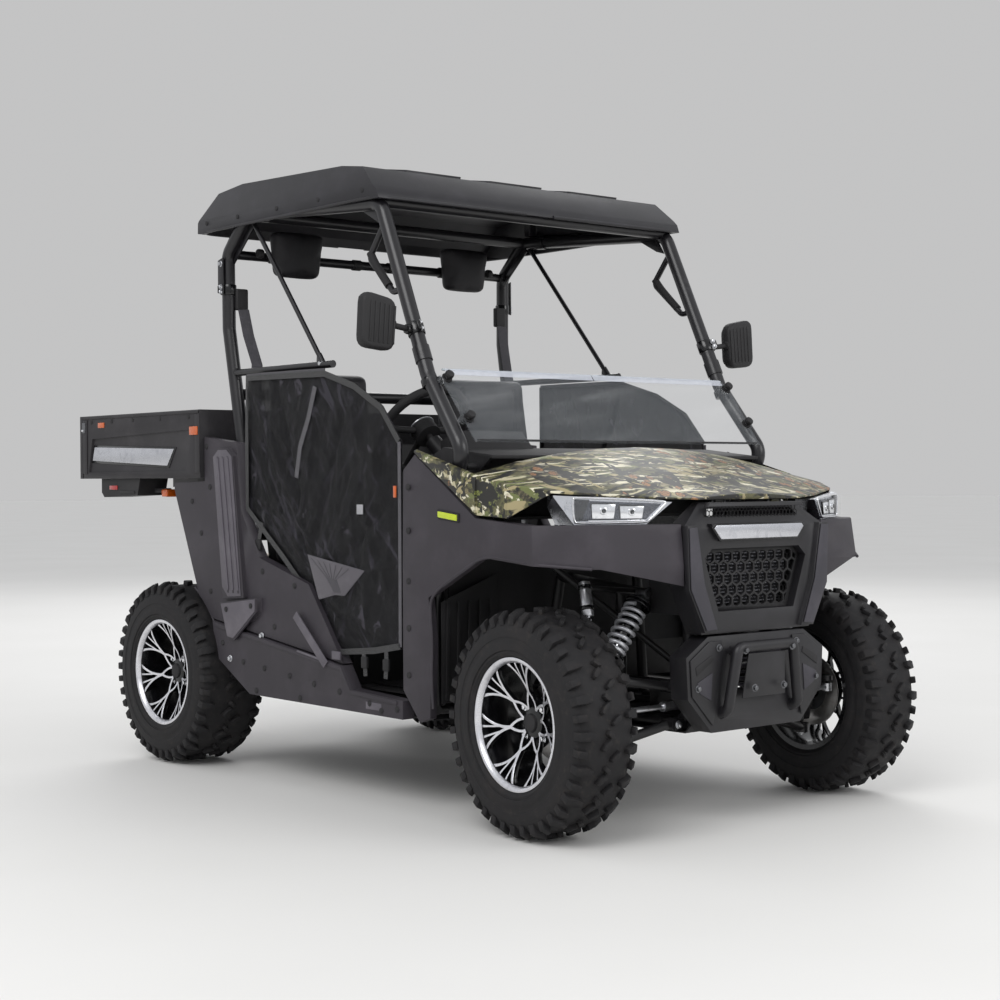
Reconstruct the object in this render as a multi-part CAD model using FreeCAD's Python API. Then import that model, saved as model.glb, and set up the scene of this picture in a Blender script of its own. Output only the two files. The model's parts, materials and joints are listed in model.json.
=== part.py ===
import FreeCAD, Part
import math
import os

# Side by side utility vehicle, millimetres, +Z up, nose towards -Y, vehicle's right side at -X.
# Everything is modelled with y = 0 at the front axle, and save() moves the origin to the ground
# under the middle of the whole vehicle.

V = FreeCAD.Vector

# Overall layout
WHEELBASE = 1912.0
NOSE_OVERHANG = 314.0
TAIL_OVERHANG = 666.0
FRONT_TRACK_HALF = 601.0
REAR_TRACK_HALF = 604.0
REST_STEER_DEG = -4.1
RUNNING_GAP = 0.3
PIN_GAP = 0.05
SAFE_GAP = 6.0

# Wheels and tyres
TYRE_RADIUS = 322.0
FRONT_TYRE_WIDTH = 210.0
REAR_TYRE_WIDTH = 252.0
TREAD_SHOULDER = 26.0
TREAD_DEPTH = 11.0
LUG_COUNT = 20
BEAD_RADIUS = 178.0
LIP_RADIUS = 188.0
RIM_WALL = 5.0
SPOKE_DEPTH = 16.0
SPOKE_COUNT = 7
RIM_DISH = 48.0
HUB_RADIUS = 46.0
STUB_RADIUS = 17.0
DISC_RADIUS = 112.0
DISC_THICKNESS = 5.0

# Front steering and suspension
KINGPIN_X = 505.0
KNUCKLE_TOP_Z = 428.0
KNUCKLE_LOW_Z = 234.0
STEER_ARM = 110.0
STEER_ARM_Z = 365.0
ARM_TUBE = 14.0
ARM_BARREL = 18.0
ARM_BARREL_HALF = 24.0
ARM_PIVOT_X = 206.0
ARM_HALF_SPREAD = 115.0
REAR_ARM_HALF_SPREAD = 130.0
REAR_PIVOT_X = 190.0
EYE_RADIUS = 17.0
RACK_RADIUS = 13.0
SHOCK_TOP_X = 245.0
SHOCK_TOP_Z = 668.0
SPRING_RADIUS = 38.0
SPRING_TURNS = 8

# Frame
FRAME_TUBE = 19.0
BRACE_TUBE = 16.0
LONG_TUBE = 17.3
LINK_TUBE = 15.3
SILL_TUBE = 15.0
CROSS_TUBE = 14.6
OUTRIGGER_TUBE = 14.2
NOSE_RAIL_X = 165.0
RAIL_X = 225.0
TAIL_RAIL_X = 150.0
RAIL_Z = 292.0
SILL_TUBE_Z = 312.0
SKID_THICKNESS = 4.0
EAR_THICKNESS = 6.0

# Body width and panels
BODY_HALF_WIDTH = 684.0
PANEL_WALL = 5.0
PANEL_DEPTH = 44.0
RETURN_X = BODY_HALF_WIDTH - PANEL_DEPTH
FENDER_REAR_Y = 529.0
HOOD_WALL = 5.0
SILL_LOW_Z = 284.0
SEAM_GAP = 4.0
ARCH_GAP = 20.0

# Cab
CAGE_TUBE = 23.0
PILLAR_INSET = 64.0
PILLAR_X = BODY_HALF_WIDTH - PILLAR_INSET
ROOF_WALL = 8.0
SCREEN_WALL = 5.0
SEAT_CENTRE_X = 365.0
SEAT_HALF_WIDTH = 238.0
FLOOR_Z = 340.0
TUB_WALL = 6.0
POST_INSET = 84.0
POST_X = BODY_HALF_WIDTH - POST_INSET
CABIN_GAP = 28.0
CABIN_HALF_WIDTH = POST_X - CABIN_GAP
STEERING_WHEEL_RADIUS = 172.0
COLUMN_TILT_DEG = 38.0
NET_THICKNESS = 7.0

# Cargo bed
BED_FRONT_Y = 1684.0
BED_FLOOR_Z = 1012.0
BED_TOP_Z = 1250.0
BED_WALL = 22.0
BED_HINGE_Y = 2310.0
BED_HINGE_Z = 962.0
BED_HINGE_X = 300.0
TAILGATE_THICKNESS = 22.0
TAILGATE_GAP = 7.0
GATE_HINGE_X = 400.0

TAIL_Y = WHEELBASE + TAIL_OVERHANG
STEER_TURN = math.radians(REST_STEER_DEG)
FRONT_WHEEL_SWING = (FRONT_TRACK_HALF - KINGPIN_X) * math.sin(-STEER_TURN)
NOSE_Y_MIN = -FRONT_WHEEL_SWING - 325.8
MID_Y = (TAIL_Y + NOSE_Y_MIN) / 2.0
REAR_AXLE_Y = WHEELBASE
AXLE_Z = TYRE_RADIUS


def save(node, shape):
    moved = shape.copy()
    moved.translate(V(0, -MID_Y, 0))
    moved.exportStep(os.path.join("parts", node + ".step"))


def box(x0, x1, y0, y1, z0, z1):
    return Part.makeBox(x1 - x0, y1 - y0, z1 - z0, V(x0, y0, z0))


def polygon(points):
    return Part.Face(Part.makePolygon(list(points) + [points[0]]))


def prism_x(points_yz, x0, x1):
    face = polygon([V(x0, y, z) for y, z in points_yz])
    return face.extrude(V(x1 - x0, 0, 0))


def prism_y(points_xz, y0, y1):
    face = polygon([V(x, y0, z) for x, z in points_xz])
    return face.extrude(V(0, y1 - y0, 0))


def prism_z(points_xy, z0, z1):
    face = polygon([V(x, y, z0) for x, y in points_xy])
    return face.extrude(V(0, 0, z1 - z0))


def loft(sections):
    wires = [Part.makePolygon(list(ring) + [ring[0]]) for ring in sections]
    return Part.makeLoft(wires, True, True)


def rod(start, end, radius):
    run = end - start
    return Part.makeCylinder(radius, run.Length, start, run)


def fuse(shapes):
    whole = shapes[0]
    if len(shapes) > 1:
        whole = whole.fuse(shapes[1:])
    return whole.removeSplitter()


def mirror(shape):
    return shape.mirror(V(0, 0, 0), V(1, 0, 0))


def both_sides(shape):
    return Part.makeCompound([shape, mirror(shape)])


def bent_tube(points, radius, bend):
    """Round bar through the points, each corner a tangent arc of the bend radius."""
    edges = []
    start = points[0]
    for before, corner, after in zip(points, points[1:], points[2:]):
        inward = (before - corner).normalize()
        outward = (after - corner).normalize()
        half = math.acos(max(-1.0, min(1.0, inward.dot(outward)))) / 2.0
        cut = bend / math.tan(half)
        arc_start = corner + inward * cut
        arc_end = corner + outward * cut
        middle = (inward + outward).normalize()
        arc_middle = corner + middle * (bend / math.sin(half) - bend)
        edges.append(Part.LineSegment(start, arc_start).toShape())
        edges.append(Part.Arc(arc_start, arc_middle, arc_end).toShape())
        start = arc_end
    edges.append(Part.LineSegment(start, points[-1]).toShape())
    path = Part.Wire(edges)
    circle = Part.Circle(points[0], points[1] - points[0], radius).toShape()
    return path.makePipeShell([Part.Wire(circle)], True, False)


def revolve_x(points_xr, centre):
    """Solid of revolution about the line through centre along X; points are (x, radius)."""
    face = polygon([V(centre.x + x, centre.y, centre.z + r) for x, r in points_xr])
    return face.revolve(centre, V(1, 0, 0), 360)


def turned(shape, pivot, axis, degrees):
    moved = shape.copy()
    moved.rotate(pivot, axis, degrees)
    return moved


def steered(shape, side):
    """Turn a straight-ahead front wheel piece about its kingpin to the rest steering angle."""
    return turned(shape, V(side * KINGPIN_X, 0, 0), V(0, 0, 1), REST_STEER_DEG)


# Wheels, drawn for the left side with +X outward, then mirrored for the right side

def tyre_profile(half, radius, shoulder_drop):
    """Half section of the tyre as (x, radius) points; the drop lowers the shoulders as well."""
    shoulder = TREAD_SHOULDER
    bead_half = half - 22.0
    return [
        (-bead_half + 1.7, BEAD_RADIUS + RUNNING_GAP),
        (-bead_half + 1.7, LIP_RADIUS + RUNNING_GAP),
        (-bead_half - 9.0, LIP_RADIUS + 1.0),
        (-half + shoulder_drop, BEAD_RADIUS + 38.0),
        (-half + shoulder_drop, radius - shoulder * 1.6),
        (-half + shoulder * 0.6 + shoulder_drop, radius - shoulder * 0.4),
        (-half + shoulder * 1.7, radius),
        (half - shoulder * 1.7, radius),
        (half - shoulder * 0.6 - shoulder_drop, radius - shoulder * 0.4),
        (half - shoulder_drop, radius - shoulder * 1.6),
        (half - shoulder_drop, BEAD_RADIUS + 38.0),
        (bead_half + 9.0, LIP_RADIUS + 1.0),
        (bead_half - 1.7, LIP_RADIUS + RUNNING_GAP),
        (bead_half - 1.7, BEAD_RADIUS + RUNNING_GAP),
    ]


def tread_ring(x0, x1, share, lead, centre):
    """Toothed ring between two planes across the axle; lead turns it by a part of one pitch."""
    pitch = 2.0 * math.pi / LUG_COUNT
    points = []
    for index in range(LUG_COUNT):
        start = (index + lead - share / 2.0) * pitch
        end = start + share * pitch
        for turn, radius in ((start, BEAD_RADIUS + 58.0), (start, TYRE_RADIUS + 20.0), (end, TYRE_RADIUS + 20.0),
                             (end, BEAD_RADIUS + 58.0)):
            points.append(V(centre.x + x0, centre.y + radius * math.sin(turn), centre.z - radius * math.cos(turn)))
    return polygon(points).extrude(V(x1 - x0, 0, 0))


def tyre(width, centre):
    """Carcass with two staggered rows of shoulder lugs and a broken centre rib."""
    half = width / 2.0
    carcass = revolve_x(tyre_profile(half, TYRE_RADIUS - TREAD_DEPTH, 3.0), centre)
    envelope = revolve_x(tyre_profile(half, TYRE_RADIUS, 0.0), centre)
    row_x = half * 0.27
    lugs = [tread_ring(-half - 1, -row_x, 0.62, 0.0, centre), tread_ring(row_x, half + 1, 0.62, 0.5, centre),
            tread_ring(-row_x + 9, row_x - 9, 0.5, 0.27, centre)]
    return carcass.fuse([envelope.common(row) for row in lugs])


def spoke_window(inner, outer, half_inner, half_outer, angle, x0, x1, centre):
    """Tapered window between two spokes, as a prism along the wheel's axis."""
    corners = [(inner, -half_inner), (outer, -half_outer), (outer, half_outer), (inner, half_inner)]
    points = []
    for radius, half_angle in corners:
        turn = math.radians(angle + half_angle)
        y = centre.y + radius * math.sin(turn)
        z = centre.z + radius * math.cos(turn)
        points.append(V(x0, y, z))
    return polygon(points).extrude(V(x1 - x0, 0, 0))


def rim(width, centre, hub_in):
    """Cast wheel: barrel with two lips, deeply dished spider of split spokes, hub and brake disc."""
    bead_half = width / 2.0 - 22.0
    barrel = revolve_x([
        (-bead_half - 2, LIP_RADIUS), (-bead_half - 8, LIP_RADIUS), (-bead_half - 8, BEAD_RADIUS - 8),
        (-bead_half + 30, BEAD_RADIUS - RIM_WALL - 3), (-bead_half + 50, BEAD_RADIUS - 20),
        (bead_half - 40, BEAD_RADIUS - 20), (bead_half - 20, BEAD_RADIUS - RIM_WALL - 3),
        (bead_half + 8, BEAD_RADIUS - 8), (bead_half + 8, LIP_RADIUS), (bead_half + 2, LIP_RADIUS),
        (bead_half, BEAD_RADIUS), (bead_half - 18, BEAD_RADIUS), (bead_half - 38, BEAD_RADIUS - 14),
        (-bead_half + 48, BEAD_RADIUS - 14), (-bead_half + 28, BEAD_RADIUS), (-bead_half, BEAD_RADIUS),
    ], centre)
    face_x = bead_half - 22.0
    barrel_inner = BEAD_RADIUS - RIM_WALL - 3
    hub_x = face_x - RIM_DISH
    spider = revolve_x([
        (hub_x - SPOKE_DEPTH, STUB_RADIUS + PIN_GAP), (hub_x, STUB_RADIUS + PIN_GAP),
        (hub_x, HUB_RADIUS), (hub_x + RIM_DISH * 0.42, 92.0), (hub_x + RIM_DISH * 0.82, 136.0),
        (face_x + 4, barrel_inner - 8), (face_x + 12, barrel_inner + 4),
        (face_x - SPOKE_DEPTH + 2, barrel_inner + 4), (hub_x + RIM_DISH * 0.8 - SPOKE_DEPTH, 136.0),
        (hub_x + RIM_DISH * 0.4 - SPOKE_DEPTH, 92.0), (hub_x - SPOKE_DEPTH, HUB_RADIUS),
    ], centre)
    step = 360.0 / SPOKE_COUNT
    windows = []
    for index in range(SPOKE_COUNT):
        angle = index * step
        x0 = centre.x + hub_x - 40.0
        x1 = centre.x + face_x + 40.0
        windows.append(spoke_window(64, 128, 5.0, 11.0, angle, x0, x1, centre))
        windows.append(spoke_window(92, 150, 2.4, 9.0, angle + step / 2.0, x0, x1, centre))
        windows.append(spoke_window(134, 152, 9.0, 12.0, angle, x0, x1, centre))
    spider = spider.cut(windows)
    cap = revolve_x([(hub_x, 0), (hub_x + 18, 0), (hub_x + 18, HUB_RADIUS * 0.6),
                     (hub_x, HUB_RADIUS * 0.75)], centre)
    hub = revolve_x([
        (hub_in, STUB_RADIUS + PIN_GAP), (hub_x - SPOKE_DEPTH, STUB_RADIUS + PIN_GAP),
        (hub_x - SPOKE_DEPTH, HUB_RADIUS), (hub_in, HUB_RADIUS - 8),
    ], centre)
    disc = revolve_x([(hub_in, HUB_RADIUS - 10), (hub_in + DISC_THICKNESS, HUB_RADIUS - 10),
                      (hub_in + DISC_THICKNESS, DISC_RADIUS), (hub_in, DISC_RADIUS)], centre)
    return fuse([barrel, spider, cap, hub, disc])


def stub_axle(hub_in, face_x, centre):
    inner = V(centre.x + hub_in - 30, centre.y, centre.z)
    outer = V(centre.x + face_x - RIM_DISH - 1.0, centre.y, centre.z)
    return rod(inner, outer, STUB_RADIUS)


FRONT_HUB_IN = -52.0
REAR_HUB_IN = -60.0


def caliper(centre, hub_in, top_z, lean):
    """Brake caliper astride the disc's rim, with a slot wider than the disc."""
    x0 = centre.x + hub_in - 26
    x1 = centre.x + hub_in + 28
    y0 = centre.y + lean
    block = box(x0, x1, y0, y0 + 62, top_z, top_z + 54)
    slot = box(centre.x + hub_in - SAFE_GAP, centre.x + hub_in + DISC_THICKNESS + SAFE_GAP,
               y0 - 1, y0 + 63, top_z - 1, top_z + 44)
    return block.cut(slot)


def brake_arm(centre, hub_in):
    """Stout arm that carries the caliper from the upright."""
    x = centre.x + hub_in - 34.0
    return rod(V(x, centre.y + 26, centre.z + 6), V(x, centre.y + 82, centre.z + 54), 14)


def knuckle():
    """Left front upright with its stub, steering arm and caliper, straight ahead."""
    centre = V(FRONT_TRACK_HALF, 0, AXLE_Z)
    hub_in = FRONT_HUB_IN
    face_x = FRONT_TYRE_WIDTH / 2.0 - 44.0
    inner_x = centre.x + hub_in - 30
    top_eye = Part.makeCylinder(20, 22, V(KINGPIN_X, 0, KNUCKLE_TOP_Z - 22))
    low_eye = Part.makeCylinder(20, 22, V(KINGPIN_X, 0, KNUCKLE_LOW_Z))
    web = prism_x([(-20, KNUCKLE_LOW_Z), (20, KNUCKLE_LOW_Z), (34, AXLE_Z - 30), (34, AXLE_Z + 30),
                   (20, KNUCKLE_TOP_Z), (-20, KNUCKLE_TOP_Z), (-34, AXLE_Z + 30), (-34, AXLE_Z - 30)],
                  inner_x - 22, inner_x)
    top_link = box(KINGPIN_X, inner_x, -16, 16, KNUCKLE_TOP_Z - 22, KNUCKLE_TOP_Z)
    low_link = box(KINGPIN_X, inner_x, -16, 16, KNUCKLE_LOW_Z, KNUCKLE_LOW_Z + 22)
    arm = prism_z([(KINGPIN_X - 14, -STEER_ARM), (KINGPIN_X + 14, -STEER_ARM),
                   (inner_x, -20), (inner_x - 22, -20)], STEER_ARM_Z, STEER_ARM_Z + 16)
    arm_eye = Part.makeCylinder(17, 16, V(KINGPIN_X, -STEER_ARM, STEER_ARM_Z))
    brake = turned(caliper(centre, hub_in, AXLE_Z + 74, -31), centre, V(1, 0, 0), -58)
    solid = fuse([top_eye, low_eye, web, top_link, low_link, arm, arm_eye, brake,
                  brake_arm(centre, hub_in), stub_axle(hub_in, face_x, centre)])
    pins = [Part.makeCylinder(6 + PIN_GAP, 24, V(KINGPIN_X, 0, KNUCKLE_TOP_Z - 23)),
            Part.makeCylinder(6 + PIN_GAP, 24, V(KINGPIN_X, 0, KNUCKLE_LOW_Z - 1))]
    return solid.cut(pins)


def a_arm(pivot_x, ball_x, y, pivot_z, ball_z, spread, stud_up):
    """Two tubes from a pair of frame pivots to one ball joint, with a cross brace."""
    ball = V(ball_x, y, ball_z)
    pieces = []
    for sign in (-1, 1):
        pivot = V(pivot_x, y + sign * spread, pivot_z)
        pieces.append(rod(pivot, ball, ARM_TUBE))
        reach = V(0, ARM_BARREL_HALF, 0)
        pieces.append(rod(pivot - reach, pivot + reach, ARM_BARREL))
    share = 0.55
    brace_x = pivot_x + (ball_x - pivot_x) * share
    brace_z = pivot_z + (ball_z - pivot_z) * share
    half = spread * (1 - share)
    pieces.append(rod(V(brace_x, y - half, brace_z), V(brace_x, y + half, brace_z), ARM_TUBE - 3))
    pieces.append(Part.makeCylinder(21, 30, V(ball_x, y, ball_z - 15)))
    if stud_up > 0:
        pieces.append(Part.makeCylinder(6, 46, V(ball_x, y, ball_z)))
    if stud_up < 0:
        pieces.append(Part.makeCylinder(6, 34, V(ball_x, y, ball_z - 34)))
    return fuse(pieces)


FRONT_UPPER_BALL_Z = KNUCKLE_TOP_Z + 19.0
FRONT_LOWER_BALL_Z = KNUCKLE_LOW_Z - 28.0
FRONT_UPPER_PIVOT_Z = 400.0
FRONT_LOWER_PIVOT_Z = 294.0


def front_arms():
    upper = a_arm(ARM_PIVOT_X, KINGPIN_X, 0, FRONT_UPPER_PIVOT_Z, FRONT_UPPER_BALL_Z,
                  ARM_HALF_SPREAD, -1)
    lower = a_arm(ARM_PIVOT_X, KINGPIN_X, 0, FRONT_LOWER_PIVOT_Z, FRONT_LOWER_BALL_Z,
                  ARM_HALF_SPREAD, 1)
    return Part.makeCompound([upper, lower, mirror(upper), mirror(lower)])


def coil_over(top, low):
    """Damper and spring between two eyes, the coils as ridges of one turned solid."""
    run = low - top
    length = run.Length
    axis = V(run).normalize()
    body = [(0, 0), (0, 16), (14, 16), (20, SPRING_RADIUS + 2), (30, SPRING_RADIUS + 2)]
    spring_start = 30.0
    spring_end = length - 78.0
    pitch = (spring_end - spring_start) / SPRING_TURNS
    for turn in range(SPRING_TURNS):
        base = spring_start + turn * pitch
        body += [(base + pitch * 0.15, SPRING_RADIUS - 9), (base + pitch * 0.4, SPRING_RADIUS),
                 (base + pitch * 0.6, SPRING_RADIUS), (base + pitch * 0.85, SPRING_RADIUS - 9)]
    body += [(spring_end, SPRING_RADIUS + 2), (spring_end + 10, SPRING_RADIUS + 2),
             (spring_end + 14, 19), (length - 14, 19), (length, 13), (length, 0)]
    face = polygon([V(r, 0, s) for s, r in body])
    solid = face.revolve(V(0, 0, 0), V(0, 0, 1), 360)
    solid.Placement = FreeCAD.Placement(top, FreeCAD.Rotation(V(0, 0, 1), axis))
    eyes = [rod(point - V(0, 20, 0), point + V(0, 20, 0), EYE_RADIUS) for point in (top, low)]
    return fuse([solid] + eyes)


FRONT_SHOCK_Y = -46.0
FRONT_SHOCK_X = 404.0
FRONT_SHOCK_SHARE = (FRONT_SHOCK_X - ARM_PIVOT_X) / (KINGPIN_X - ARM_PIVOT_X)
FRONT_SHOCK_SEAT_Z = FRONT_UPPER_PIVOT_Z + (FRONT_UPPER_BALL_Z - FRONT_UPPER_PIVOT_Z) * FRONT_SHOCK_SHARE
FRONT_SHOCK_LOW = V(FRONT_SHOCK_X, FRONT_SHOCK_Y, FRONT_SHOCK_SEAT_Z + ARM_TUBE * 1.02 + EYE_RADIUS + RUNNING_GAP)
REAR_SHOCK_Y = REAR_AXLE_Y + 98.0
REAR_SHOCK_TOP = V(330.0, REAR_SHOCK_Y, 790.0)
REAR_SHOCK_LOW = V(424.0, REAR_SHOCK_Y, 330.0)


def front_shocks():
    top = V(SHOCK_TOP_X, FRONT_SHOCK_Y, SHOCK_TOP_Z)
    return both_sides(coil_over(top, FRONT_SHOCK_LOW))


def rear_shocks():
    return both_sides(coil_over(REAR_SHOCK_TOP, REAR_SHOCK_LOW))


REAR_HUB_X = REAR_TRACK_HALF + REAR_HUB_IN - 30.0


def rear_arms():
    """Rear A-arms with the upright that carries each rear stub axle."""
    y = REAR_AXLE_Y
    centre = V(REAR_TRACK_HALF, y, AXLE_Z)
    pieces = []
    for pivot_z, ball_z in ((REAR_UPPER_PIVOT_Z, 420.0), (REAR_LOWER_PIVOT_Z, 232.0)):
        pieces.append(a_arm(REAR_PIVOT_X, REAR_HUB_X - 20, y, pivot_z, ball_z, REAR_ARM_HALF_SPREAD, 0))
    upright = prism_x([(y - 34, 215), (y + 34, 215), (y + 44, AXLE_Z), (y + 34, 440),
                       (y - 34, 440), (y - 44, AXLE_Z)], REAR_HUB_X - 24, REAR_HUB_X)
    face_x = REAR_TYRE_WIDTH / 2.0 - 44.0
    brake = turned(caliper(centre, REAR_HUB_IN, AXLE_Z + 74, -31), centre, V(1, 0, 0), -58)
    tab = box(REAR_SHOCK_LOW.x - 14, REAR_SHOCK_LOW.x + 14, y + 35, REAR_SHOCK_Y + 20, 236,
              REAR_SHOCK_LOW.z - EYE_RADIUS - RUNNING_GAP)
    side = fuse(pieces + [upright, brake, brake_arm(centre, REAR_HUB_IN), tab,
                          stub_axle(REAR_HUB_IN, face_x, centre)])
    return both_sides(side)


# Steering

RACK_SHIFT = STEER_ARM * math.sin(math.radians(REST_STEER_DEG))
RACK_Y = -STEER_ARM
RACK_Z = STEER_ARM_Z - SAFE_GAP - 15.0
RACK_HALF = 130.0
RACK_PLATE_Z = RAIL_Z + 5.0


def steering_rack():
    """Rack housing with its bore and the pinion tower that meets the column."""
    housing = rod(V(-RACK_HALF, RACK_Y, RACK_Z), V(RACK_HALF, RACK_Y, RACK_Z), 24)
    tower = rod(V(-70, RACK_Y, RACK_Z), V(-70, RACK_Y + 45, RACK_Z + 70), 20)
    feet = [box(x - 18, x + 18, RACK_Y - 20, RACK_Y + 20, RACK_PLATE_Z + RUNNING_GAP, RACK_Z)
            for x in (-100, 100)]
    bore = rod(V(-RACK_HALF - 5, RACK_Y, RACK_Z), V(RACK_HALF + 5, RACK_Y, RACK_Z),
               RACK_RADIUS + PIN_GAP)
    return fuse([housing, tower] + feet).cut(bore)


def tie_rods():
    """Rack bar with a tie rod and ball end each side, under the steering arms."""
    pieces = []
    reach = KINGPIN_X
    y_end = -STEER_ARM * math.cos(math.radians(REST_STEER_DEG))
    bar_half = RACK_HALF + 100.0
    pieces.append(rod(V(-bar_half, RACK_Y, RACK_Z), V(bar_half, RACK_Y, RACK_Z), RACK_RADIUS))
    for side in (-1, 1):
        inner = V(side * bar_half, RACK_Y, RACK_Z)
        outer = V(side * reach + RACK_SHIFT, y_end, RACK_Z)
        pieces.append(rod(inner, outer, 8))
        pieces.append(Part.makeCylinder(14, 24, outer - V(0, 0, 12)))
        pieces.append(rod(inner - V(side * 12, 0, 0), inner + V(side * 6, 0, 0), RACK_RADIUS + 1.5))
    return fuse(pieces)


COLUMN_RADIUS = 27.0
WHEEL_HUB = V(-SEAT_CENTRE_X, 838.0, 1165.0)
COLUMN_AXIS = V(0, math.cos(math.radians(COLUMN_TILT_DEG)), math.sin(math.radians(COLUMN_TILT_DEG)))


def steering_column():
    low = WHEEL_HUB - COLUMN_AXIS * 430.0
    sleeve_end = WHEEL_HUB - COLUMN_AXIS * 70.0
    sleeve = rod(low, sleeve_end, COLUMN_RADIUS)
    bore = rod(sleeve_end - COLUMN_AXIS * 90.0, sleeve_end + COLUMN_AXIS, 11 + PIN_GAP)
    rack_top = V(-70, RACK_Y + 45, RACK_Z + 70) + V(0, 45, 70).normalize() * 10.0
    shaft = bent_tube([low + COLUMN_AXIS * 10, V(-330, 290, 760), rack_top], 10, 40)
    return fuse([sleeve.cut(bore), shaft])


def steering_wheel():
    """Padded rim, three spokes and hub, square to the column."""
    shaft = rod(WHEEL_HUB - COLUMN_AXIS * 150.0, WHEEL_HUB, 11)
    hub = rod(WHEEL_HUB - COLUMN_AXIS * 40.0, WHEEL_HUB + COLUMN_AXIS * 6.0, 42)
    ring = Part.makeTorus(STEERING_WHEEL_RADIUS - 15, 15, WHEEL_HUB, COLUMN_AXIS)
    across = V(1, 0, 0)
    up = COLUMN_AXIS.cross(across)
    spokes = []
    for angle in (0, 180, 270):
        turn = math.radians(angle)
        direction = across * math.cos(turn) - up * math.sin(turn)
        spokes.append(rod(WHEEL_HUB - COLUMN_AXIS * 12, WHEEL_HUB + direction * (STEERING_WHEEL_RADIUS - 18), 11))
    return fuse([ring, hub, shaft] + spokes)


# Frame, floor and underside

def tube_space(points, radius, bend):
    """What the neighbours of a bent tube keep clear of: a running gap all round and past its ends."""
    head = points[0] + (points[0] - points[1]).normalize() * RUNNING_GAP
    tail = points[-1] + (points[-1] - points[-2]).normalize() * RUNNING_GAP
    return bent_tube([head] + points[1:-1] + [tail], radius + RUNNING_GAP, bend)


def rod_member(start, end, radius):
    """Straight tube with the space that its neighbours keep clear of."""
    reach = (end - start).normalize() * RUNNING_GAP
    return rod(start, end, radius), rod(start - reach, end + reach, radius + RUNNING_GAP)


def plate_member(x0, x1, y0, y1, z0, z1):
    gap = RUNNING_GAP
    return box(x0, x1, y0, y1, z0, z1), box(x0 - gap, x1 + gap, y0 - gap, y1 + gap, z0 - gap, z1 + gap)


def pivot_ears(rail_x, pivot_x, y, pivot_z):
    """Two plates that hold one arm barrel from the rail beside it."""
    ears = []
    for sign in (-1, 1):
        face = y + sign * (ARM_BARREL_HALF + RUNNING_GAP)
        y0 = min(face, face + sign * EAR_THICKNESS)
        ears.append(plate_member(rail_x + 6, pivot_x + 14, y0, y0 + EAR_THICKNESS, pivot_z - 16, pivot_z + 16))
    return ears


def mirrored_member(member):
    return mirror(member[0]), mirror(member[1])


NOSE_FRAME_Y = -150.0
RAIL_LINE = [(NOSE_RAIL_X, NOSE_FRAME_Y, 640), (NOSE_RAIL_X, NOSE_FRAME_Y, RAIL_Z), (NOSE_RAIL_X, 150, RAIL_Z),
             (RAIL_X, 430, RAIL_Z), (RAIL_X, 1480, RAIL_Z), (TAIL_RAIL_X, 1700, RAIL_Z),
             (TAIL_RAIL_X, 2150, RAIL_Z), (TAIL_RAIL_X, 2185, 897)]


def rail_members():
    """The two long rails, each bent up at the nose and at the tail."""
    line = [V(*point) for point in RAIL_LINE]
    left = (bent_tube(line, FRAME_TUBE, 60), tube_space(line, FRAME_TUBE, 60))
    return [left, mirrored_member(left)]


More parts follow.
